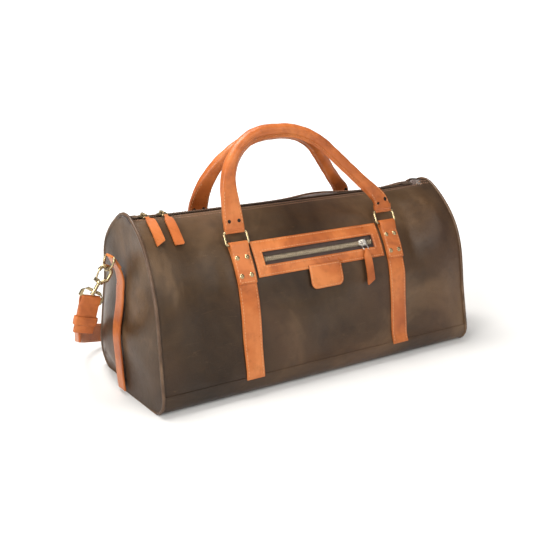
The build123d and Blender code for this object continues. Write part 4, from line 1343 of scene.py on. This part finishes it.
def shoulder_strap():
    points = route_points()
    tangent = np.gradient(points, axis=0)
    tangent /= np.linalg.norm(tangent, axis=1)[:, None]
    up = np.array([0.0, 0.0, 1.0]) - tangent * tangent[:, 2:3]
    up /= np.linalg.norm(up, axis=1)[:, None]
    place, length = rail(points, up)
    band = cut_strip("shoulder_band", 0.0274, length, 0.0026, 360, 0.0007, 5)
    p = get_points(band)
    moved = place(p[:, 0], p[:, 1], p[:, 2] - 0.0013)
    moved[:, 2] = np.maximum(moved[:, 2], 0.0003)
    set_points(band, moved)
    outward(band)
    finish_piece(band, "root", [TAN])
    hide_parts("shoulder_strap")
    margin = 0.0137 - 0.0024
    runs = [[(m, 0.004), (m, length - 0.004)] for m in (-margin, margin)]
    for mark, face in (("in", -1), ("out", 1)):
        def on_face(a, b, c, face=face):
            return place(a, b, face * (0.0013 + c))
        sew_tan(f"shoulder_band_stitches_{mark}", runs, on_face)


# ---- floor, light and camera ----
def floor_and_backdrop():
    """A white floor that glows more away from the bag, and a white sky that only the camera sees."""
    floor = start_piece("floor", bpy.ops.mesh.primitive_plane_add, size=24)
    material, tree, shader = surface("floor_white", Roughness=0.75, Specular_IOR_Level=0.2)
    fleck = noise(tree, coords(tree), 3.0, 2.0)
    white = ramp(tree, fleck, [(0.3, (0.60, 0.60, 0.595)), (0.7, (0.63, 0.63, 0.625))])
    tree.links.new(white, shader.inputs["Base Color"])
    shader.inputs["Emission Color"].default_value = (1, 1, 1, 1)
    reach = tree.nodes.new("ShaderNodeVectorMath")
    reach.operation = "LENGTH"
    tree.links.new(coords(tree), reach.inputs[0])
    glow = grey(tree, reach.outputs["Value"], 0.10, 1.0, 0.42, 1.4)
    tree.links.new(glow, shader.inputs["Emission Strength"])
    floor.data.materials.append(material)
    ball = bpy.ops.mesh.primitive_uv_sphere_add
    backdrop = start_piece("backdrop", ball, segments=48, ring_count=24, radius=11)
    sky, _, shader = surface("backdrop_white")
    shader.inputs["Base Color"].default_value = (0, 0, 0, 1)
    shader.inputs["Emission Color"].default_value = (1, 1, 1, 1)
    shader.inputs["Emission Strength"].default_value = 1.0
    backdrop.data.materials.append(sky)
    backdrop.visible_diffuse = False
    backdrop.visible_glossy = False
    backdrop.visible_shadow = False
    backdrop.visible_transmission = False


LAMPS = {                  # place, what it points at, watts, side of its square
    "softbox_top": ((-0.3, 0.40, 1.9), (0, 0, 0.1), 56, 1.1),
    "softbox_left": ((-1.8, -1.0, 1.0), (0, 0, 0.12), 38, 0.9),
    "softbox_front": ((0.8, -2.0, 1.5), (0, 0, 0.15), 19, 1.3),
}
LAMP_COLOUR = (1.0, 0.97, 0.93)


def lights():
    world = bpy.data.worlds.new("studio")
    world.use_nodes = True
    world.node_tree.nodes["Background"].inputs["Color"].default_value = (1, 1, 1, 1)
    world.node_tree.nodes["Background"].inputs["Strength"].default_value = 0.24
    bpy.context.scene.world = world
    for name, (place, aim, power, size) in LAMPS.items():
        lamp = bpy.data.lights.new(name, "AREA")
        lamp.energy = power
        lamp.size = size
        lamp.color = LAMP_COLOUR
        holder = bpy.data.objects.new(name, lamp)
        bpy.context.collection.objects.link(holder)
        holder.location = place
        holder.rotation_euler = (Vector(aim) - Vector(place)).to_track_quat("-Z", "Y").to_euler()


CAMERA_PLACE = (-0.745, -1.0284, 0.4943)
CAMERA_TURN = (-34.36, 74.11, 0.92)      # round, tilt and roll, degrees


def camera():
    """A three-quarter view from the front left."""
    seen_by = bpy.data.objects.new("camera", bpy.data.cameras.new("camera"))
    bpy.context.collection.objects.link(seen_by)
    seen_by.data.lens = 61.46
    seen_by.data.sensor_width = 36
    round_by, tilt, roll = CAMERA_TURN
    turn = Matrix.Rotation(RAD(round_by), 4, "Z") @ Matrix.Rotation(RAD(tilt), 4, "X")
    turn = turn @ Matrix.Rotation(RAD(roll), 4, "Z")
    seen_by.matrix_world = Matrix.Translation(CAMERA_PLACE) @ turn
    bpy.context.scene.camera = seen_by
    bpy.context.scene.view_settings.view_transform = "Standard"


floor_and_backdrop()
lights()
camera()
ends_held = []
for end in SIGN:
    ends_held += strap_ends(end)
shoulder_strap()
dress_metalwork()
leather_body()
for end in SIGN:
    end_panel(end)
    piping(end)
    end_strap(end)
lining_bag()
main_zip()
main_pulls()
pocket()
for row_name in ROW:
    for end in SIGN:
        handle_strap(row_name, end)
    handle(row_name)
for one in PATTERNS.values():
    bpy.data.objects.remove(one, do_unlink=True)
